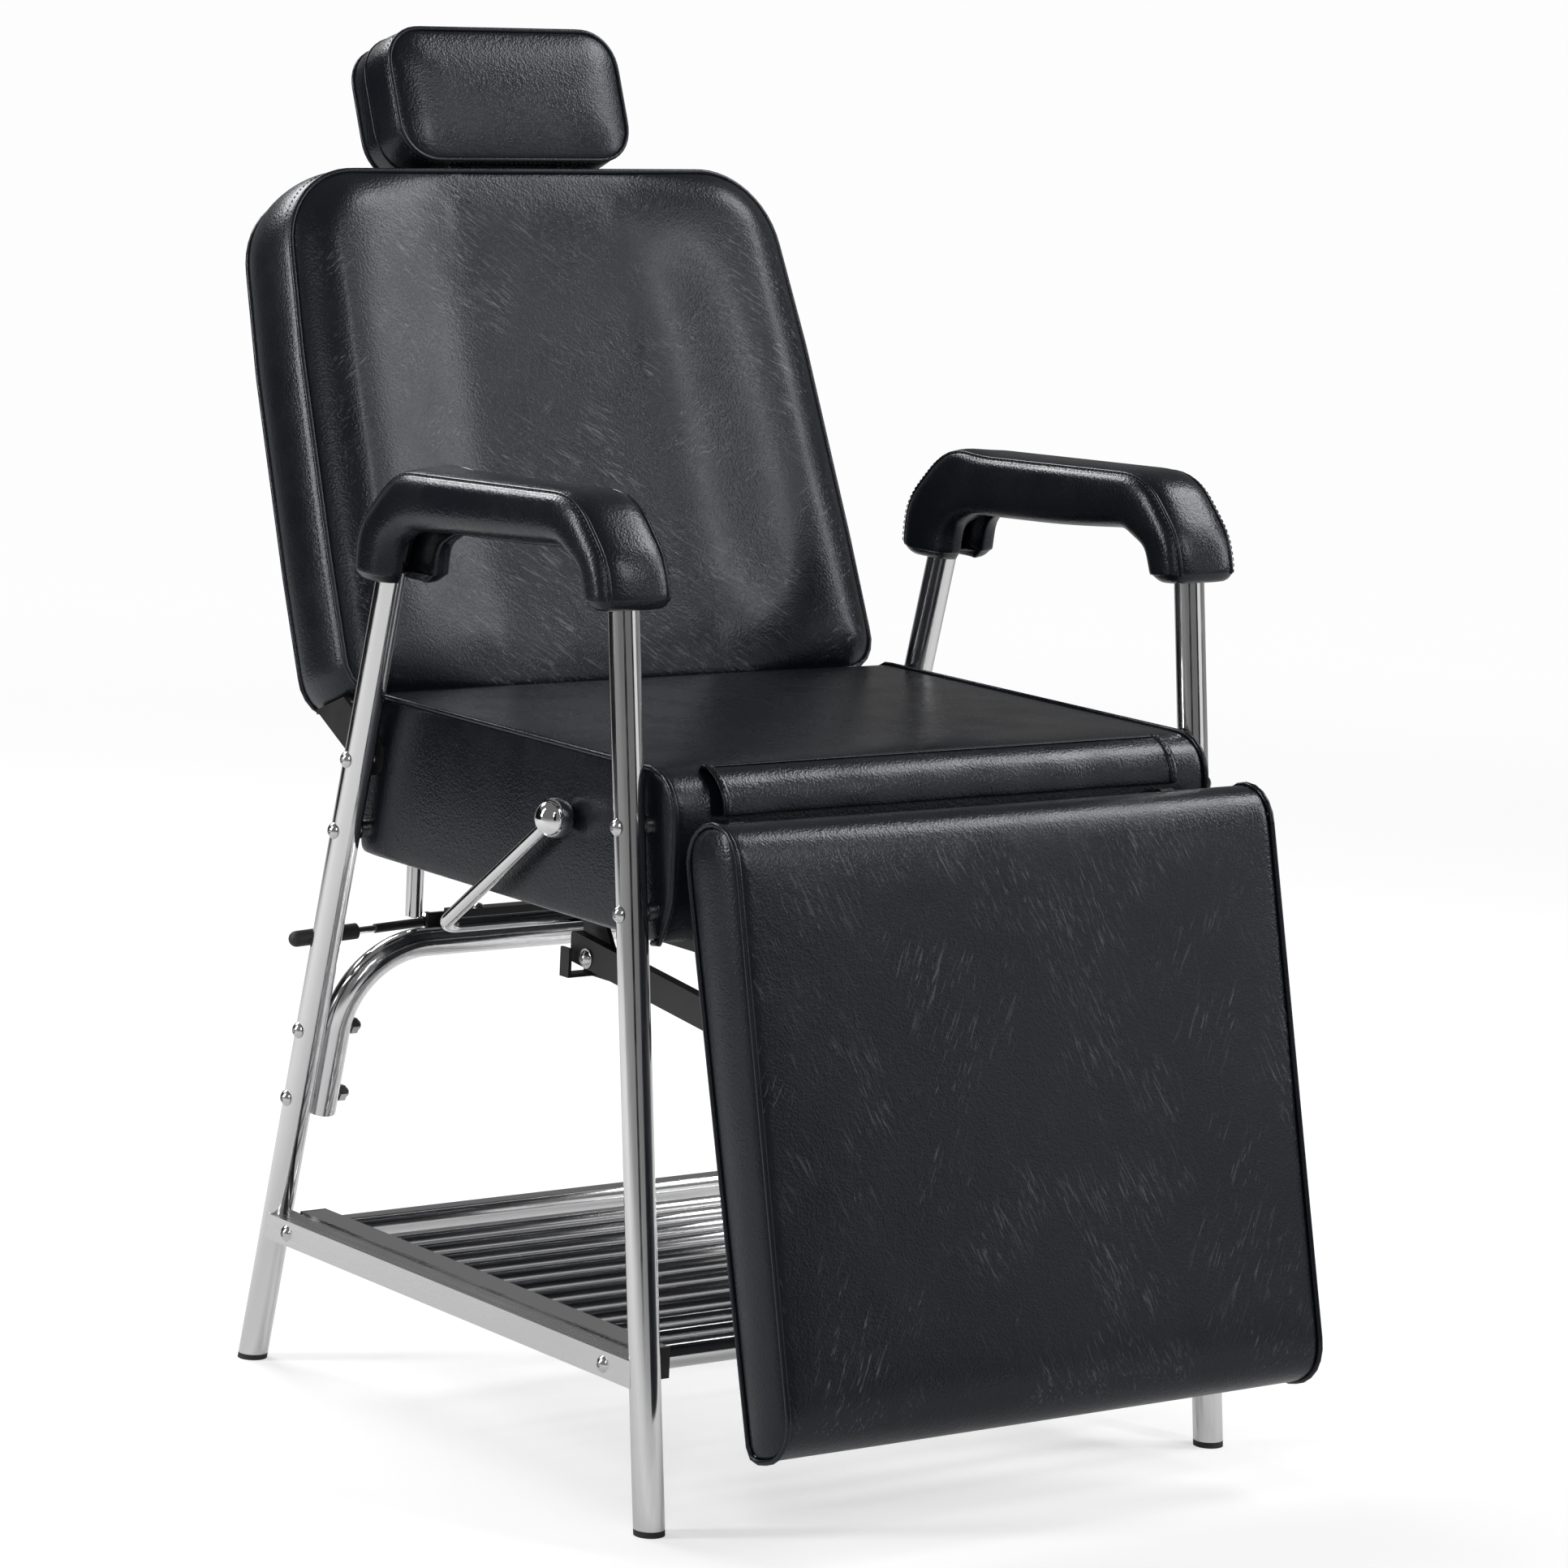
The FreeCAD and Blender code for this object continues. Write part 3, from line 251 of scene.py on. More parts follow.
STEEL = chrome("steel_fasteners", roughness=0.16, tint=0.7, streaks=0.05)
PAINT = painted("black_paint")
RUBBER = rubber("black_rubber")
PLASTIC = rubber("black_plastic", roughness=0.42)
BOARD = board("painted_board")

BY_SLOT = {"chrome": CHROME_TUBE, "steel": STEEL, "black_paint": PAINT, "rubber": RUBBER,
           "black_plastic": PLASTIC, "board": BOARD, "leather": SEAT_LEATHER}
BY_NODE = {"tray_bars": CHROME_ACROSS, "tray_end_bars": CHROME_ACROSS, "lever_ball": CHROME_BALL,
           "stretcher_left": SATIN, "stretcher_right": SATIN}


def dress(node):
    slot = next(p["material_slot"] for p in frame["record"]["subparts"] if p["node"] == node)
    material = BY_NODE.get(node, BY_SLOT[slot])
    for place in nodes[node].material_slots:
        place.material = material


for node in nodes:
    dress(node)


# Mesh helpers -----------------------------------------------------------------------------------

class Shell:
    """A mesh joined from grids of points; points at one place are one vertex."""

    def __init__(self):
        self.points = []
        self.faces = []
        self.found = {}

    def vertex(self, point):
        key = tuple(round(c, 5) for c in point)
        if key not in self.found:
            self.found[key] = len(self.points)
            self.points.append(tuple(point))
        return self.found[key]

    def grid(self, points, flip=False):
        """points[r][c]; returns the vertex numbers."""
        numbers = [[self.vertex(p) for p in line] for line in points]
        for low, high in zip(numbers, numbers[1:]):
            for i in range(len(low) - 1):
                face = [low[i], low[i + 1], high[i + 1], high[i]]
                face = list(dict.fromkeys(face))
                if len(face) > 2:
                    self.faces.append(face[::-1] if flip else face)
        return numbers

    def object(self, name, material):
        mesh = bpy.data.meshes.new(name)
        mesh.from_pydata(self.points, [], self.faces)
        mesh.materials.append(material)
        tool = bmesh.new()
        tool.from_mesh(mesh)
        bmesh.ops.recalc_face_normals(tool, faces=tool.faces)
        tool.to_mesh(mesh)
        tool.free()
        mesh.polygons.foreach_set("use_smooth", [True] * len(mesh.polygons))
        piece = bpy.data.objects.new(name, mesh)
        scene.collection.objects.link(piece)
        return piece


def round_corners(corners, step=0.006):
    """A line through (a, b, radius) corners with their arcs, as a list of 2-D points, and the place
    in it of the middle of each corner. An open line's two end corners have no radius."""
    line, middles = [], []
    count = len(corners)
    for i, (a, b, radius) in enumerate(corners):
        here = Vector((a, b))
        before = (Vector(corners[i - 1][:2]) - here).normalized()
        after = (Vector(corners[(i + 1) % count][:2]) - here).normalized()
        half = before.angle(after) / 2
        if radius < 1e-6 or math.pi / 2 - half < 0.01:
            middles.append(len(line))
            line.append(here)
            continue
        centre = here + (before + after).normalized() * (radius / math.sin(half))
        start = here + before * (radius / math.tan(half)) - centre
        turn = start.angle_signed(here + after * (radius / math.tan(half)) - centre)
        pieces = max(4, 2 * round(abs(turn) * radius / step / 2))
        middles.append(len(line) + pieces // 2)
        for k in range(pieces + 1):
            line.append(centre + Matrix.Rotation(-turn * k / pieces, 2) @ start)
    return line, middles


def even(points, count):
    """The same open line as count equal lengths."""
    line = np.array([tuple(p) for p in points], float)
    length = np.concatenate([[0], np.cumsum(np.linalg.norm(np.diff(line, axis=0), axis=1))])
    at = np.linspace(0, length[-1], count + 1)
    return np.stack([np.interp(at, length, line[:, i]) for i in range(line.shape[1])], axis=1)


def four_sides(corners, splits, counts):
    """The closed outline as four lines that begin at the middles of the split corners."""
    line, middles = round_corners(corners)
    sides = []
    for i in range(4):
        start, end = middles[splits[i]], middles[splits[(i + 1) % 4]]
        run = line[start:end + 1] if end > start else line[start:] + line[:end + 1]
        sides.append(even(run, counts[i % 2]))
    return sides


def fill(sides):
    """A grid inside four sides that meet end to end."""
    low, right, high, left = sides[0], sides[1], sides[2][::-1], sides[3][::-1]
    rows, columns = len(right), len(low)
    s = np.linspace(0, 1, columns)[None, :, None]
    t = np.linspace(0, 1, rows)[:, None, None]
    across = (1 - t) * low[None] + t * high[None]
    up = (1 - s) * left[:, None] + s * right[:, None]
    corners = (1 - s) * (1 - t) * low[0] + s * (1 - t) * low[-1] + (1 - s) * t * high[0] + s * t * high[-1]
    return across + up - corners


class Local:
    """A cushion's own frame: two axes across its outline and one through its depth."""

    def __init__(self, origin, a, b, c):
        self.origin, self.a, self.b, self.c = origin, Vector(a), Vector(b), Vector(c)

    def __call__(self, a, b, c):
        return self.origin + self.a * a + self.b * b + self.c * c


def tilted_frame(y, z, degrees, side_first):
    """Face point and backward tilt; the outline is (x, up) or (depth, up)."""
    t = math.radians(degrees)
    up, back = (0, math.sin(t), math.cos(t)), (0, math.cos(t), -math.sin(t))
    if side_first:
        return Local(row(0, y, z), (1, 0, 0), up, back)
    return Local(row(0, y, z), back, up, (1, 0, 0))


def smooth_step(value, low, high):
    t = min(max((value - low) / (high - low), 0.0), 1.0)
    return t * t * (3 - 2 * t)


def cushion(name, material, local, corners, splits, depth, cell, low_cap=None, high_cap=None, wall=None):
    """A closed form with a seam round each end: two caps filled as grids and a wall between them.
    low_cap and high_cap move a cap's point outwards by its (a, b, distance from the rim); wall moves
    a wall's point outwards by its share of the depth. Returns the object and its two rims."""
    lengths = [sum((q - p).length for p, q in zip(r, r[1:])) for r in
               [[Vector(p) for p in s] for s in four_sides(corners, splits, (40, 40))]]
    counts = [max(4, round(max(lengths[i], lengths[i + 2]) / cell)) for i in (0, 1)]
    sides = four_sides(corners, splits, counts)
    loop = np.concatenate([side[:-1] for side in sides])
    flat = fill(sides)
    shell = Shell()
    for c, shape, outward in ((depth[0], low_cap, -1), (depth[1], high_cap, 1)):
        points = []
        for line in flat:
            points.append([])
            for a, b in line:
                near = np.min(np.hypot(loop[:, 0] - a, loop[:, 1] - b))
                lift = shape(a, b, near) if shape and near > 1e-6 else 0.0
                points[-1].append(local(a, b, c + outward * lift))
        shell.grid(points, flip=outward < 0)
    middle = loop.mean(axis=0)
    tangent = np.roll(loop, -1, axis=0) - np.roll(loop, 1, axis=0)
    normal = np.stack([tangent[:, 1], -tangent[:, 0]], axis=1)
    normal /= np.linalg.norm(normal, axis=1)[:, None]
    if np.sum(normal * (loop - middle)) < 0:
        normal = -normal
    rows = max(2, round((depth[1] - depth[0]) / cell))
    ring = []
    for k in range(rows + 1):
        share = k / rows
        push = wall(share) if wall else 0.0
        c = depth[0] + (depth[1] - depth[0]) * share
        line = [local(p[0] + q[0] * push, p[1] + q[1] * push, c) for p, q in zip(loop, normal)]
        ring.append(line + line[:1])
    numbers = shell.grid(ring)
    piece = shell.object(name, material)
    piece["rims"] = numbers[0] + numbers[-1]
    piece["beside_front"] = numbers[1]
    piece["belt"] = numbers[round(0.62 * rows)]
    rims = [[Vector(p) for p in line[:-1]] for line in (ring[0], ring[-1])]
    return piece, rims


def sweep(name, material, points, radius, closed, sides=8):
    """A round cord along a line of points."""
    points = [Vector(p) for p in points]
    count = len(points)
    shell = Shell()
    normal = None
    rings = []
    for i, point in enumerate(points):
        before = points[(i - 1) % count] if closed or i else point
        after = points[(i + 1) % count] if closed or i < count - 1 else point
        along = (after - before).normalized()
        if normal is None:
            normal = along.orthogonal().normalized()
        normal = (normal - along * normal.dot(along)).normalized()
        other = along.cross(normal)
        turns = [2 * math.pi * k / sides for k in range(sides + 1)]
        rings.append([point + (normal * math.cos(a) + other * math.sin(a)) * radius for a in turns])
    if closed:
        # the frame may come round turned: start the closing ring at the nearest point
        first = rings[0][:-1]
        shift = min(range(sides), key=lambda k: (first[k] - rings[-1][0]).length)
        rings.append(first[shift:] + first[:shift] + [first[shift]])
    shell.grid(rings)
    if not closed:
        for ring, point in ((rings[0], points[0]), (rings[-1], points[-1])):
            shell.grid([ring, [point] * len(ring)])
    return shell.object(name, material)


def stitches(name, points, normals, pitch=0.0050, length=0.0035, radius=0.00045):
    """A row of sewn threads along a line of points, half sunk in the leather."""
    line = np.array([tuple(p) for p in points], float)
    out = np.array([tuple(n) for n in normals], float)
    steps = np.linalg.norm(np.diff(line, axis=0), axis=1)
    at = np.concatenate([[0], np.cumsum(steps)])
    shell = Shell()
    for k in range(int(at[-1] / pitch)):
        ends = []
        for place in (k * pitch, k * pitch + length):
            point = Vector([np.interp(place, at, line[:, i]) for i in range(3)])
            lift = Vector([np.interp(place, at, out[:, i]) for i in range(3)]).normalized()
            ends.append((point, lift))
        along = (ends[1][0] - ends[0][0]).normalized()
        side = along.cross(ends[0][1]).normalized()
        rings = []
        for share, size in ((0, 0.15), (0.12, 0.8), (0.5, 1.0), (0.88, 0.8), (1, 0.15)):
            centre = ends[0][0].lerp(ends[1][0], share) + ends[0][1] * radius * (1.6 * size - 1.0)
            rings.append([centre + (side * math.cos(a) + ends[0][1] * math.sin(a)) * radius * size
                          for a in [2 * math.pi * j / 6 for j in range(7)]])
        shell.grid(rings)
    return shell.object(name, THREAD)


def subdivide(piece):
    """Smooths the piece once; its first vertices keep their numbers."""
    modifier = piece.modifiers.new("Smooth", "SUBSURF")
    modifier.levels = modifier.render_levels = 1
    bpy.context.view_layer.update()
    mesh = bpy.data.meshes.new_from_object(piece.evaluated_get(bpy.context.evaluated_depsgraph_get()))
    piece.modifiers.clear()
    piece.data = mesh
    mesh.polygons.foreach_set("use_smooth", [True] * len(mesh.polygons))


def positions(mesh):
    flat = np.zeros(len(mesh.vertices) * 3)
    mesh.vertices.foreach_get("co", flat)
    return flat.reshape(-1, 3)


def inflate(jobs, frames=20):
    """Fills the cushions: the seams in "rims" stay, the panels between them swell under pressure.
    jobs are (piece, pressure, slack, cap); the cap is the farthest that a point may move."""
    for piece, pressure, slack, cap in jobs:
        group = piece.vertex_groups.new(name="seams")
        group.add(list(piece["rims"]), 1.0, "REPLACE")
        cloth = piece.modifiers.new("Cloth", "CLOTH").settings
        cloth.quality = 5
        cloth.mass = 0.3
        cloth.tension_stiffness = cloth.compression_stiffness = 25
        cloth.shear_stiffness = 15
        cloth.bending_stiffness = 1.5
        cloth.use_pressure = True
        cloth.uniform_pressure_force = pressure
        cloth.shrink_min = -slack
        cloth.vertex_group_mass = "seams"
        cloth.effector_weights.gravity = 0
    for number in range(1, frames + 1):
        scene.frame_set(number)
    graph = bpy.context.evaluated_depsgraph_get()
    for piece, pressure, slack, cap in jobs:
        swollen = bpy.data.meshes.new_from_object(piece.evaluated_get(graph))
        rest = positions(piece.data)
        moved = positions(swollen) - rest
        size = np.linalg.norm(moved, axis=1)
        keep = cap * np.tanh(size / cap) / np.maximum(size, 1e-9)
        piece.modifiers.clear()
        piece.vertex_groups.clear()
        piece.data.vertices.foreach_set("co", (rest + moved * keep[:, None]).ravel())
        piece.data.update()
    scene.frame_set(1)


# Cushions ---------------------------------------------------------------------------------------

CELL = 0.0095                 # the cushions' mesh size
SEAT_HALF = 0.2705
seat_frame = Local(row(0, 0, 0), (0, 1, 0), (0, 0, 1), (1, 0, 0))
seat_corners = [(0.047, 0.4645, 0.006), (0.492, 0.4645, 0.006), (0.4915, 0.6025, 0.016),
                (0.0315, 0.6025, 0.036), (0.0315, 0.500, 0.06)]


def side_bulge(height, reach):
    """A stuffed panel: it rises quickly from its seam and stays nearly flat in the middle."""
    return lambda a, b, near: height * (1 - math.exp(-near / reach))


seat, seat_rims = cushion("seat", SEAT_LEATHER, seat_frame, seat_corners, (0, 1, 2, 3),
                          (-SEAT_HALF, SEAT_HALF), CELL, side_bulge(0.0022, 0.012), side_bulge(0.0022, 0.012))

REST_HALF = 0.2710
rest_frame = tilted_frame(-58.9, 524.5, 13.3, False)
rest_corners = [(0.0, -0.440, 0.034), (0.056, -0.440, 0.012), (0.0656, 0.010, 0.12), (0.0656, 0.0555, 0.0322),
                (0.0, 0.0555, 0.0322)]
rest, rest_rims = cushion("legrest", REST_LEATHER, rest_frame, rest_corners, (0, 1, 3, 4),
                          (-REST_HALF, REST_HALF), CELL, side_bulge(0.0065, 0.016), side_bulge(0.0065, 0.016))

BACK_THICK = 0.075
back_frame = tilted_frame(506.2, 607.0, 22.4, True)
# (height, half width, corner radius) up the back's sides
BACK_SIDES = ((-0.012, 0.277, 0.030), (0.110, 0.274, 0.3), (0.290, 0.2655, 0.3), (0.453, 0.251, 0.074))
back_corners = [(-BACK_SIDES[0][1], *BACK_SIDES[0][::2])]
back_corners += [(half, up, bend) for up, half, bend in BACK_SIDES]
back_corners += [(-half, up, bend) for up, half, bend in BACK_SIDES[:0:-1]]


def back_front(a, b, near):
    """Rounded bolsters up both sides and across the top, round a shallow hollow."""
    heights, halves = [side[0] for side in BACK_SIDES], [side[1] for side in BACK_SIDES]
    low, high = heights[0], heights[-1]
    from_side = np.interp(b, heights, halves) - abs(a)
    dome = 1 - (1 - min(near / 0.042, 1.0)) ** 2.2
    ends = 0.72 + 0.28 * smooth_step(high - b, 0.0, 0.14)
    ends *= 0.72 + 0.28 * smooth_step(b - low, 0.0, 0.10)
    return dome * (0.019 - 0.022 * ends * smooth_step(from_side, 0.030, 0.185))


def wall_swell(height):
    """A stuffed wall: it stands out most halfway through the depth."""
    return lambda share: height * math.sin(math.pi * share) ** 0.7


back, back_rims = cushion("back", BACK_LEATHER, back_frame, back_corners, (0, 1, 4, 5),
                          (0.0, BACK_THICK), CELL, back_front, side_bulge(0.003, 0.02), wall_swell(0.007))

HEAD_THICK = 0.062
head_frame = tilted_frame(716.0, 1100.0, 21.5, True)
head_corners = [(a, b, 0.034)
                for a, b in ((-0.120, -0.070), (0.120, -0.070), (0.120, 0.050), (-0.120, 0.050))]
head, head_rims = cushion("headrest", HEAD_LEATHER, head_frame, head_corners, (0, 1, 2, 3),
                          (0.0, HEAD_THICK), 0.006, side_bulge(0.008, 0.016), side_bulge(0.004, 0.016),
                          wall_swell(0.003))

# Armrests -----------------------------------------------------------------------------------------

ARM_X = 0.28885               # the leg tubes' plane
ARM_HALF = 0.036
ARM_SLOT = 0.0135             # half the width of the opening that runs along the underside
ARM_END = 0.009               # the ends are rounded over this much
ARM_SQUARE = 0.66             # the section's power: 1 is an ellipse, 0 a box
ARM_SEAM = 0.0275             # from the plane to each seam of the top panel
INNER_DROP = 0.008            # the inner side hangs this much lower
INNER_RISE = 0.011            # and stands this much higher at the rear
WELT_R = 0.0017
# (behind the front feet, height, corner radius) in millimetres: top, underside and the tube inside
arm_top = [(62.0, 728.0, 0), (70.0, 765.0, 60), (118.0, 817.5, 60), (385.0, 806.0, 55), (440.0, 752.0, 50),
           (441.0, 707.0, 0)]
arm_low = [(100.0, 725.0, 0), (112.0, 755.0, 16), (145.0, 769.5, 22), (358.0, 754.5, 40), (384.0, 740.0, 16),
           (389.0, 707.0, 0)]
arm_tube = [(86.0, 700.0, 0), (96.2, 782.0, 52), (412.5, 766.3, 52), (429.0, 700.0, 0)]


def bent_line(corners, count):
    """An open line through corners given in millimetres, as count equal lengths."""
    return even(round_corners([(a * MM, b * MM, r * MM) for a, b, r in corners])[0], count)


def rounded(value, limit, inset):
    """One coordinate of a rounded box section."""
    return math.copysign(abs(value) ** ARM_SQUARE, value) * (limit - inset)


def armrest(name, side, count=56, around=32):
    """A stuffed sleeve over the bent tube, open underneath; seams run along both edges of its top."""
    top, low, tube = bent_line(arm_top, count), bent_line(arm_low, count), bent_line(arm_tube, 240)
    ends = ((1.0, 0.62), (0.45, 0.86), (0.1, 0.97))
    stations = [(0, *end) for end in ends] + [(k, 0.0, 1.0) for k in range(1, count)]
    stations += [(count, *end) for end in reversed(ends)]
    shell = Shell()
    outer, inner = [], []
    gap_angle = math.asin((ARM_SLOT / ARM_HALF) ** (1 / ARM_SQUARE))
    for k, inward, size in stations:
        t, b = Vector(top[k]), Vector(low[k])
        if k in (0, count):
            following = 1 if k == 0 else -1
            shift = Vector((top[k + following] + low[k + following]) / 2 - (top[k] + low[k]) / 2)
            shift = shift.normalized() * ARM_END * (1 - inward)
            t, b = t + shift, b + shift
        centre, up = (t + b) / 2, (t - b).normalized()
        half = (t - b).length / 2
        across = Vector((up.y, -up.x))
        seen = [(abs((Vector(p) - centre).dot(across)), (Vector(p) - centre).dot(up)) for p in tube]
        ceiling = min(max(min(seen)[1], -half + 0.002), half - 0.010)
        inset = ARM_END * (1 - size) * 2

        def spot(x, v):
            inside = smooth_step(-x * side, -0.004, 0.026)
            rear = smooth_step(k, 0.66 * count, 0.82 * count)
            drop = INNER_DROP * inside * smooth_step(-v, -0.2 * half, 0.9 * half)
            rise = INNER_RISE * inside * rear * smooth_step(v, -0.2 * half, 0.9 * half)
            place = centre + up * (v - drop + rise)
            return row(0, 0, 0) + Vector((side * ARM_X + x, place.x, place.y))

        turns = [math.pi - gap_angle - 2 * (math.pi - gap_angle) * j / around for j in range(around + 1)]
        ring = [(rounded(math.sin(a), ARM_HALF, inset), rounded(math.cos(a), half, inset))
                for a in turns]
        wall = [ring[0][1] + (ceiling - ring[0][1]) * share for share in (0, 0.33, 0.66, 1)]
        slot = [(ring[0][0], v) for v in wall] + [(ring[-1][0], v) for v in reversed(wall)]
        outer.append([spot(*p) for p in ring])
        inner.append([Vector(p) for p in even([spot(*p) for p in slot], around)])
        inner[-1][0], inner[-1][-1] = outer[-1][0], outer[-1][-1]
    numbers = shell.grid(outer)
    shell.grid(inner)
    for k in (0, -1):
        middle = [p.lerp(q, 0.5) for p, q in zip(outer[k], inner[k])]
        shell.grid([outer[k], middle, inner[k]])
    piece = shell.object(name, ARM_LEATHER)
    seams = []
    for sign in (-1, 1):
        upper = range(around // 4, around - around // 4 + 1)
        j = min(upper, key=lambda i: abs(outer[20][i].x - side * ARM_X - sign * ARM_SEAM))
        seams.append([line[j] for line in numbers[2:-2]])
    return piece, seams


arms = {name: armrest(f"armrest_pad_{name}", side) for side, name in ((-1, "left"), (1, "right"))}
arm_pads = [pad for pad, seams in arms.values()]

inflate([(seat, 1.0, 0.0, 0.003), (rest, 1.2, 0.0, 0.004),
         (back, 1.0, 0.0, 0.002), (head, 1.2, 0.0, 0.003)])


# Seams: piping and stitching ----------------------------------------------------------------------

def surface_line(piece, numbers):
    """Places and outward normals of a line of vertices."""
    vertices = piece.data.vertices
    return [vertices[i].co.copy() for i in numbers], [vertices[i].normal.copy() for i in numbers]


soft_pieces = [seat, rest, back, head, *arm_pads]
for piece in soft_pieces:
    subdivide(piece)

extras = {"seat": [], "legrest": [], "back": [], "headrest": [], "arms": []}
for name, (piece, seams) in arms.items():
    for k, seam in enumerate(seams):
        points, normals = surface_line(piece, seam)
        extras["arms"].append(sweep(f"armrest_welt_{name}_{k}", PIPING, points, WELT_R, False))
        middle = -ARM_X if name == "left" else ARM_X
        beside = [p + Vector((math.copysign(0.0035, p.x - middle), 0, 0)) - n * 0.0006
                  for p, n in zip(points, normals)]
        extras["arms"].append(stitches(f"armrest_stitch_{name}_{k}", beside, normals))

points, normals = surface_line(back, back["beside_front"])
extras["back"].append(stitches("back_stitch", points, normals))
points, normals = surface_line(head, head["belt"])
extras["headrest"].append(sweep("headrest_belt", PIPING, points[:-1], 0.0013, True))
extras["headrest"].append(stitches("headrest_stitch", *surface_line(head, head["beside_front"])))

PIPE_R = 0.0024
for name, rims, radius in (("legrest", rest_rims, PIPE_R), ("back", back_rims, PIPE_R),
                           ("headrest", head_rims, 0.0021)):
    for k, rim in enumerate(rims):
        extras[name].append(sweep(f"{name}_piping_{k}", PIPING, rim, radius, True))


def piped(point):
    """True along the seat's top and front edges, where its piping runs."""
    rearward = point.y - seat_frame.origin.y
    return rearward < 0.490 and not (point.z < 0.470 and rearward > 0.06)


for k, rim in enumerate(seat_rims):
    start = max(range(len(rim)), key=lambda i: rim[i].y + rim[i].z)      # the top rear corner
    loop = rim[start:] + rim[:start]
    if (loop[5] - loop[0]).y > -0.01:
        loop = loop[::-1]
    extras["seat"].append(sweep(f"seat_piping_{k}", PIPING, [p for p in loop if piped(p)], PIPE_R, False))


# Flap -------------------------------------------------------------------------------------------

def flap_line():
    """Side view of the sheet: from under the seat's top cover, over the front edge and down."""
    corners = [(0.060, 0.6015, 0), (0.050, 0.6042, 0.02), (0.0258, 0.6048, 0.034), (0.0240, 0.5680, 0)]
    return even(round_corners(corners, 0.004)[0], 18)


FLAP_HALF = 0.232
FLAP_THICK = 0.0014
FLAP_COLUMNS = 60
HEM_THICK = 0.0034
HEM_WIDTH = 0.009


def sheet(name, lines, thickness):
    """A grid of points thickened to both sides and smoothed."""
    shell = Shell()
    shell.grid(lines)
    piece = shell.object(name, SEAT_LEATHER)
    solid = piece.modifiers.new("Thickness", "SOLIDIFY")
    solid.thickness = thickness
    solid.offset = 0.0
    subdivide(piece)
    return piece


profile = flap_line()
sheet_rows = []
for i, (y, z) in enumerate(profile):
    down = i / (len(profile) - 1)
    line = []
    for j in range(FLAP_COLUMNS + 1):
        x = -FLAP_HALF + 2 * FLAP_HALF * j / FLAP_COLUMNS
        sag = 0.0006 * math.sin(x * 41.0 + 1.3) + 0.0004 * math.sin(x * 97.0)
        lift = -0.0015 * math.exp(-(FLAP_HALF - abs(x)) / 0.012)
        line.append(row(x / MM, (y + sag * down + lift * down) / MM, z / MM))
    sheet_rows.append(line)
flap = sheet("front_flap", sheet_rows, FLAP_THICK)

hems = []
for side, name, edge in ((-1, "left", 0), (1, "right", -1)):
    lines = [[line[edge] + Vector((-side * w, 0, 0)) for w in (0.0, HEM_WIDTH / 2, HEM_WIDTH)]
             for line in sheet_rows]
    hems.append(sheet(f"flap_hem_{name}", lines, HEM_THICK))
    points = [line[1] for line in lines]
    slopes = [points[min(i + 1, len(points) - 1)] - points[max(i - 1, 0)] for i in range(len(points))]
    out = [Vector((0, slope.z, -slope.y)).normalized() for slope in slopes]
    points = [p + n * 0.0018 for p, n in zip(points, out)]
    hems.append(stitches(f"flap_stitch_{name}", points, out))


# Riding -----------------------------------------------------------------------------------------

for pieces, body in ((extras["seat"] + [seat, flap] + hems, "frame"), (extras["legrest"] + [rest], "legrest"),
                     (extras["back"] + [back], "back"), (extras["headrest"] + [head], "headrest"),
                     (extras["arms"] + arm_pads, "frame")):
    for piece in pieces:
        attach(piece, body)

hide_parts("seat_cushion")
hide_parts("legrest_cushion")
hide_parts("back_cushion")
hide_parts("headrest_cushion")
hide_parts("armrest_left")
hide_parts("armrest_right")
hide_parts("seat_flap")


# Studio -----------------------------------------------------------------------------------------

def flat_panel(name, width, height, material):
    """A level rectangle about the origin."""
    w, h = width / 2, height / 2
    mesh = bpy.data.meshes.new(name)
    mesh.from_pydata([(-w, -h, 0), (w, -h, 0), (w, h, 0), (-w, h, 0)], [], [(0, 1, 2, 3)])
    mesh.materials.append(material)
    panel = bpy.data.objects.new(name, mesh)
    scene.collection.objects.link(panel)
    return panel


def studio_floor():
    """A pale floor that glows by itself and fades into the white world; reflections see it dimmer."""
    n = Nodes("studio_floor")
    gradient = n.add("ShaderNodeTexGradient", gradient_type="SPHERICAL")
    n.link(n.mapped(scale=(0.2, 0.2, 0.2)), gradient.inputs["Vector"])
    near = gradient.outputs["Fac"]
    far = n.remap(near, 0.0, 0.8, 1.0, 0.0)
    glow = n.remap(near, 0.0, 0.85, 1.0, 0.56)
    n.set(Base_Color=n.mix(far, grey(0.55), grey(0.02)), Roughness=0.9, Specular_IOR_Level=0.0)
    seen = n.remap(n.add("ShaderNodeLightPath").outputs["Is Camera Ray"], 0.0, 1.0, 0.27, 0.98)
    n.set(Emission_Color=(1, 1, 1, 1), Emission_Strength=n.math("MULTIPLY", glow, seen))
    flat_panel("floor", 120.0, 120.0, n.material)


def area_light(name, place, target, size, power):
    data = bpy.data.lights.new(name, "AREA")
    data.shape = "RECTANGLE"
    data.size, data.size_y = size
    data.energy = power
    light = bpy.data.objects.new(name, data)
    light.location = place
    light.rotation_euler = (Vector(target) - Vector(place)).to_track_quat("-Z", "Y").to_euler()
    scene.collection.objects.link(light)


def dark_card(name, place, target, size):
    """A black board that only reflections see: it gives the chrome its dark streaks."""
    n = Nodes(name)
    n.set(Base_Color=grey(0.01), Roughness=1.0, Specular_IOR_Level=0.0)
    card = flat_panel(name, *size, n.material)
    card.location = place
    card.rotation_euler = (Vector(target) - Vector(place)).to_track_quat("Z", "Y").to_euler()
    card.visible_camera = card.visible_diffuse = card.visible_shadow = False


WORLD_SEEN_BY_OBJECTS = 0.16


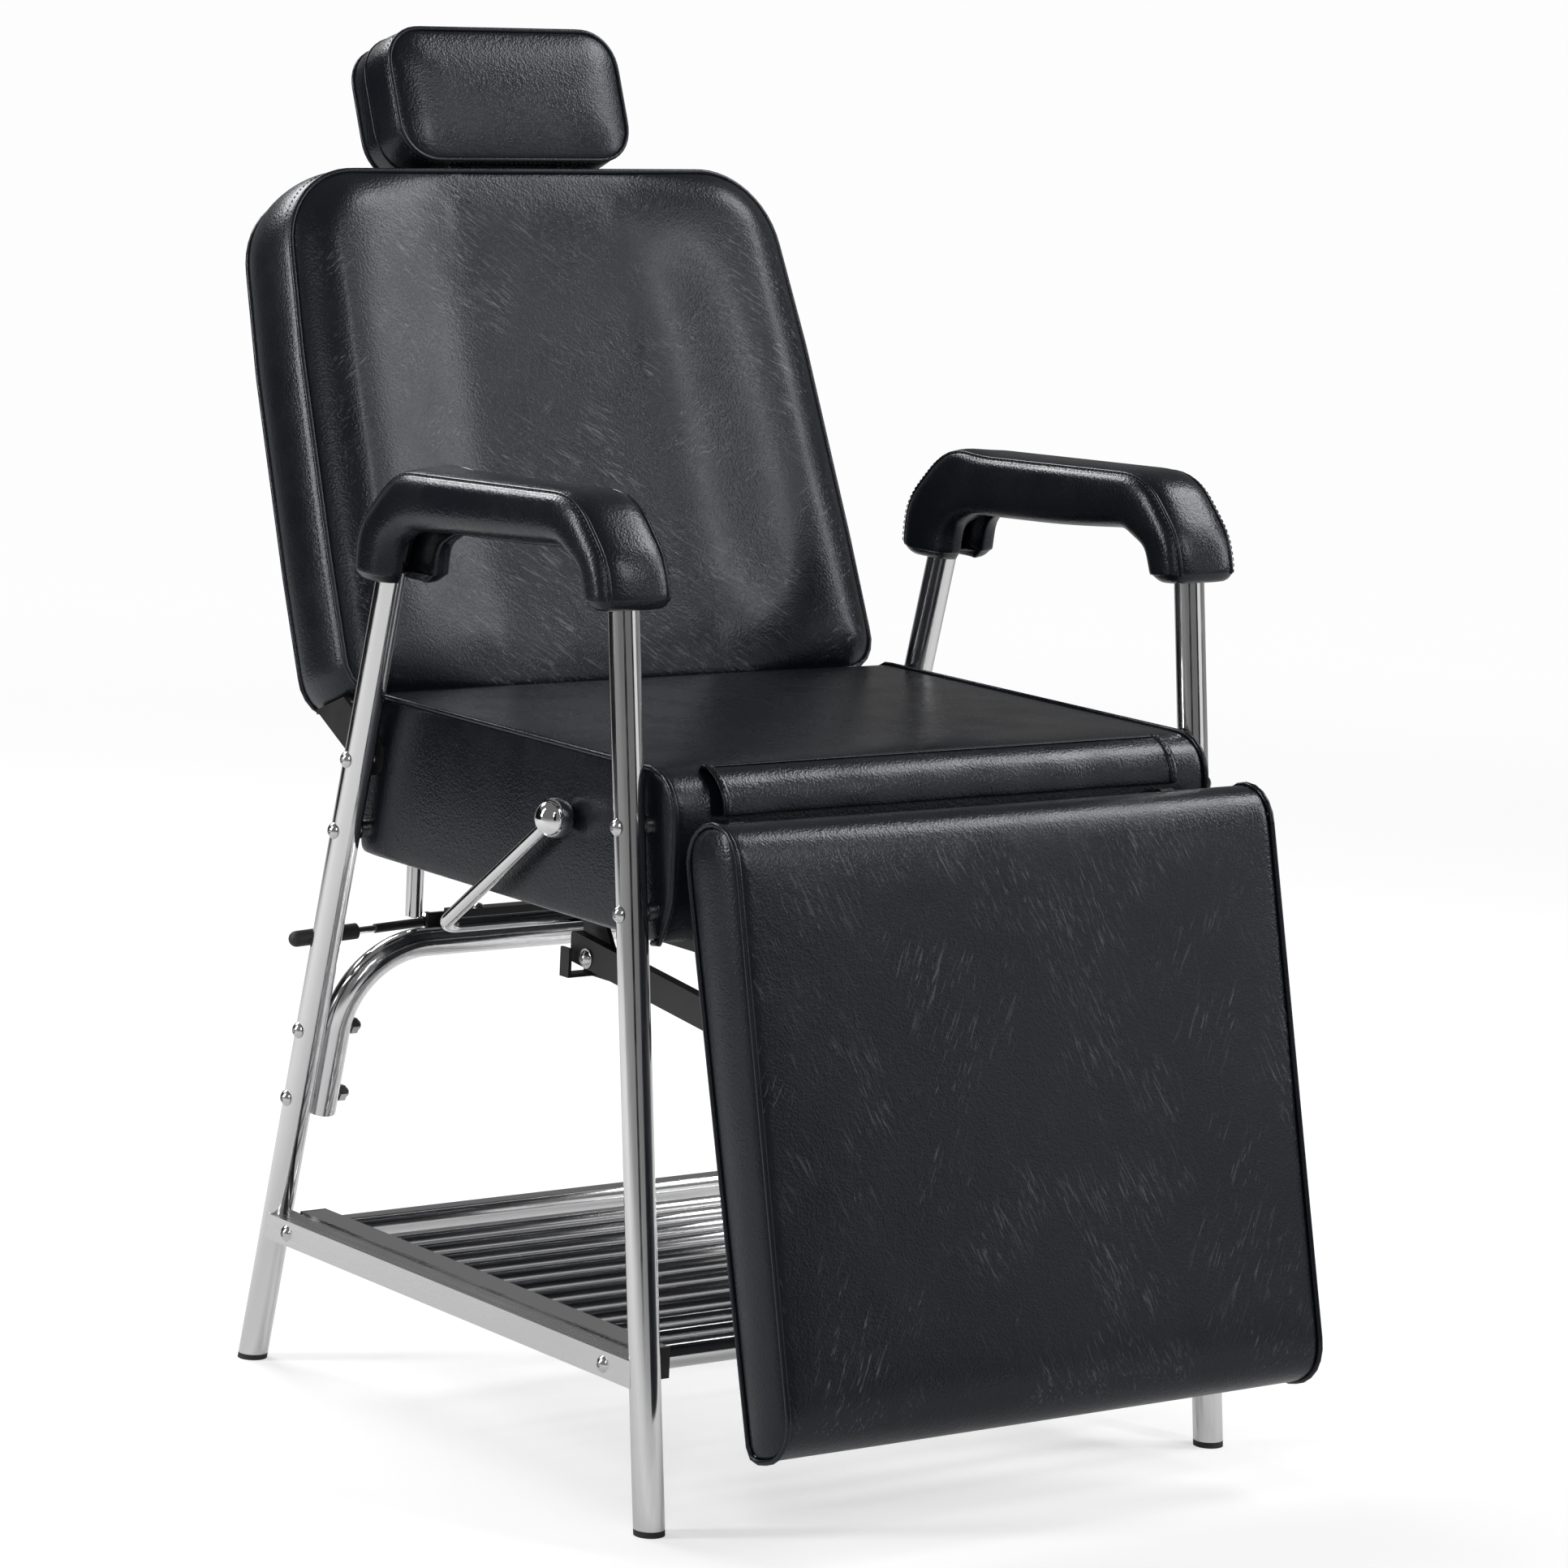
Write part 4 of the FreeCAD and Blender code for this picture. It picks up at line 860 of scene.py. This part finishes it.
def world_light():
    world = bpy.data.worlds.new("studio")
    world.use_nodes = True
    tree = world.node_tree
    background = tree.nodes["Background"]
    path = tree.nodes.new("ShaderNodeLightPath")
    level = tree.nodes.new("ShaderNodeMapRange")
    level.inputs["To Min"].default_value = WORLD_SEEN_BY_OBJECTS
    level.inputs["To Max"].default_value = 1.0
    tree.links.new(path.outputs["Is Camera Ray"], level.inputs["Value"])
    tree.links.new(level.outputs["Result"], background.inputs["Strength"])
    background.inputs["Color"].default_value = (1, 1, 1, 1)
    scene.world = world


studio_floor()
world_light()
CHAIR = (0.0, 0.0, 0.6)       # every light and card faces this point
area_light("overhead_right", (2.2, -0.5, 3.0), CHAIR, (1.2, 1.0), 34)
area_light("right_strip", (2.95, -1.5, 2.0), CHAIR, (0.7, 2.0), 30)
area_light("left_strip", (-2.9, 1.1, 1.8), CHAIR, (0.4, 2.2), 60)
area_light("front_left", (-2.6, -3.2, 2.4), CHAIR, (0.5, 1.8), 30)
area_light("front_right_low", (2.3, -3.2, 1.1), CHAIR, (2.2, 1.4), 6)
area_light("rear_high", (-0.5, 3.0, 2.9), CHAIR, (2.2, 1.0), 80)
area_light("front_high", (1.3, -2.9, 2.6), CHAIR, (0.25, 1.6), 25)
dark_card("card_left", (-2.2, -3.2, 1.2), CHAIR, (0.9, 3.2))
dark_card("card_right", (1.2, -3.4, 1.2), CHAIR, (0.8, 3.2))
dark_card("card_far_left", (-2.0, 2.3, 0.7), CHAIR, (3.2, 2.4))


# Camera -----------------------------------------------------------------------------------------

def set_camera():
    yaw, pitch, roll = math.radians(-36.56), math.radians(9.18), math.radians(2.68)
    ahead = Vector((-math.sin(yaw) * math.cos(pitch), math.cos(yaw) * math.cos(pitch), -math.sin(pitch)))
    level = ahead.cross(Vector((0, 0, 1))).normalized()
    above = level.cross(ahead)
    right = level * math.cos(roll) + above * math.sin(roll)
    up = above * math.cos(roll) - level * math.sin(roll)
    data = bpy.data.cameras.new("camera")
    data.sensor_width = 36.0
    data.lens = 136.4
    data.clip_end = 200.0
    camera = bpy.data.objects.new("camera", data)
    turn = Matrix((right, up, -ahead)).transposed().to_4x4()
    camera.matrix_world = Matrix.Translation(row(-2930.8, -3694.8, 1339.3)) @ turn
    scene.collection.objects.link(camera)
    scene.camera = camera


set_camera()
scene.view_settings.view_transform = "Standard"
scene.view_settings.look = "None"
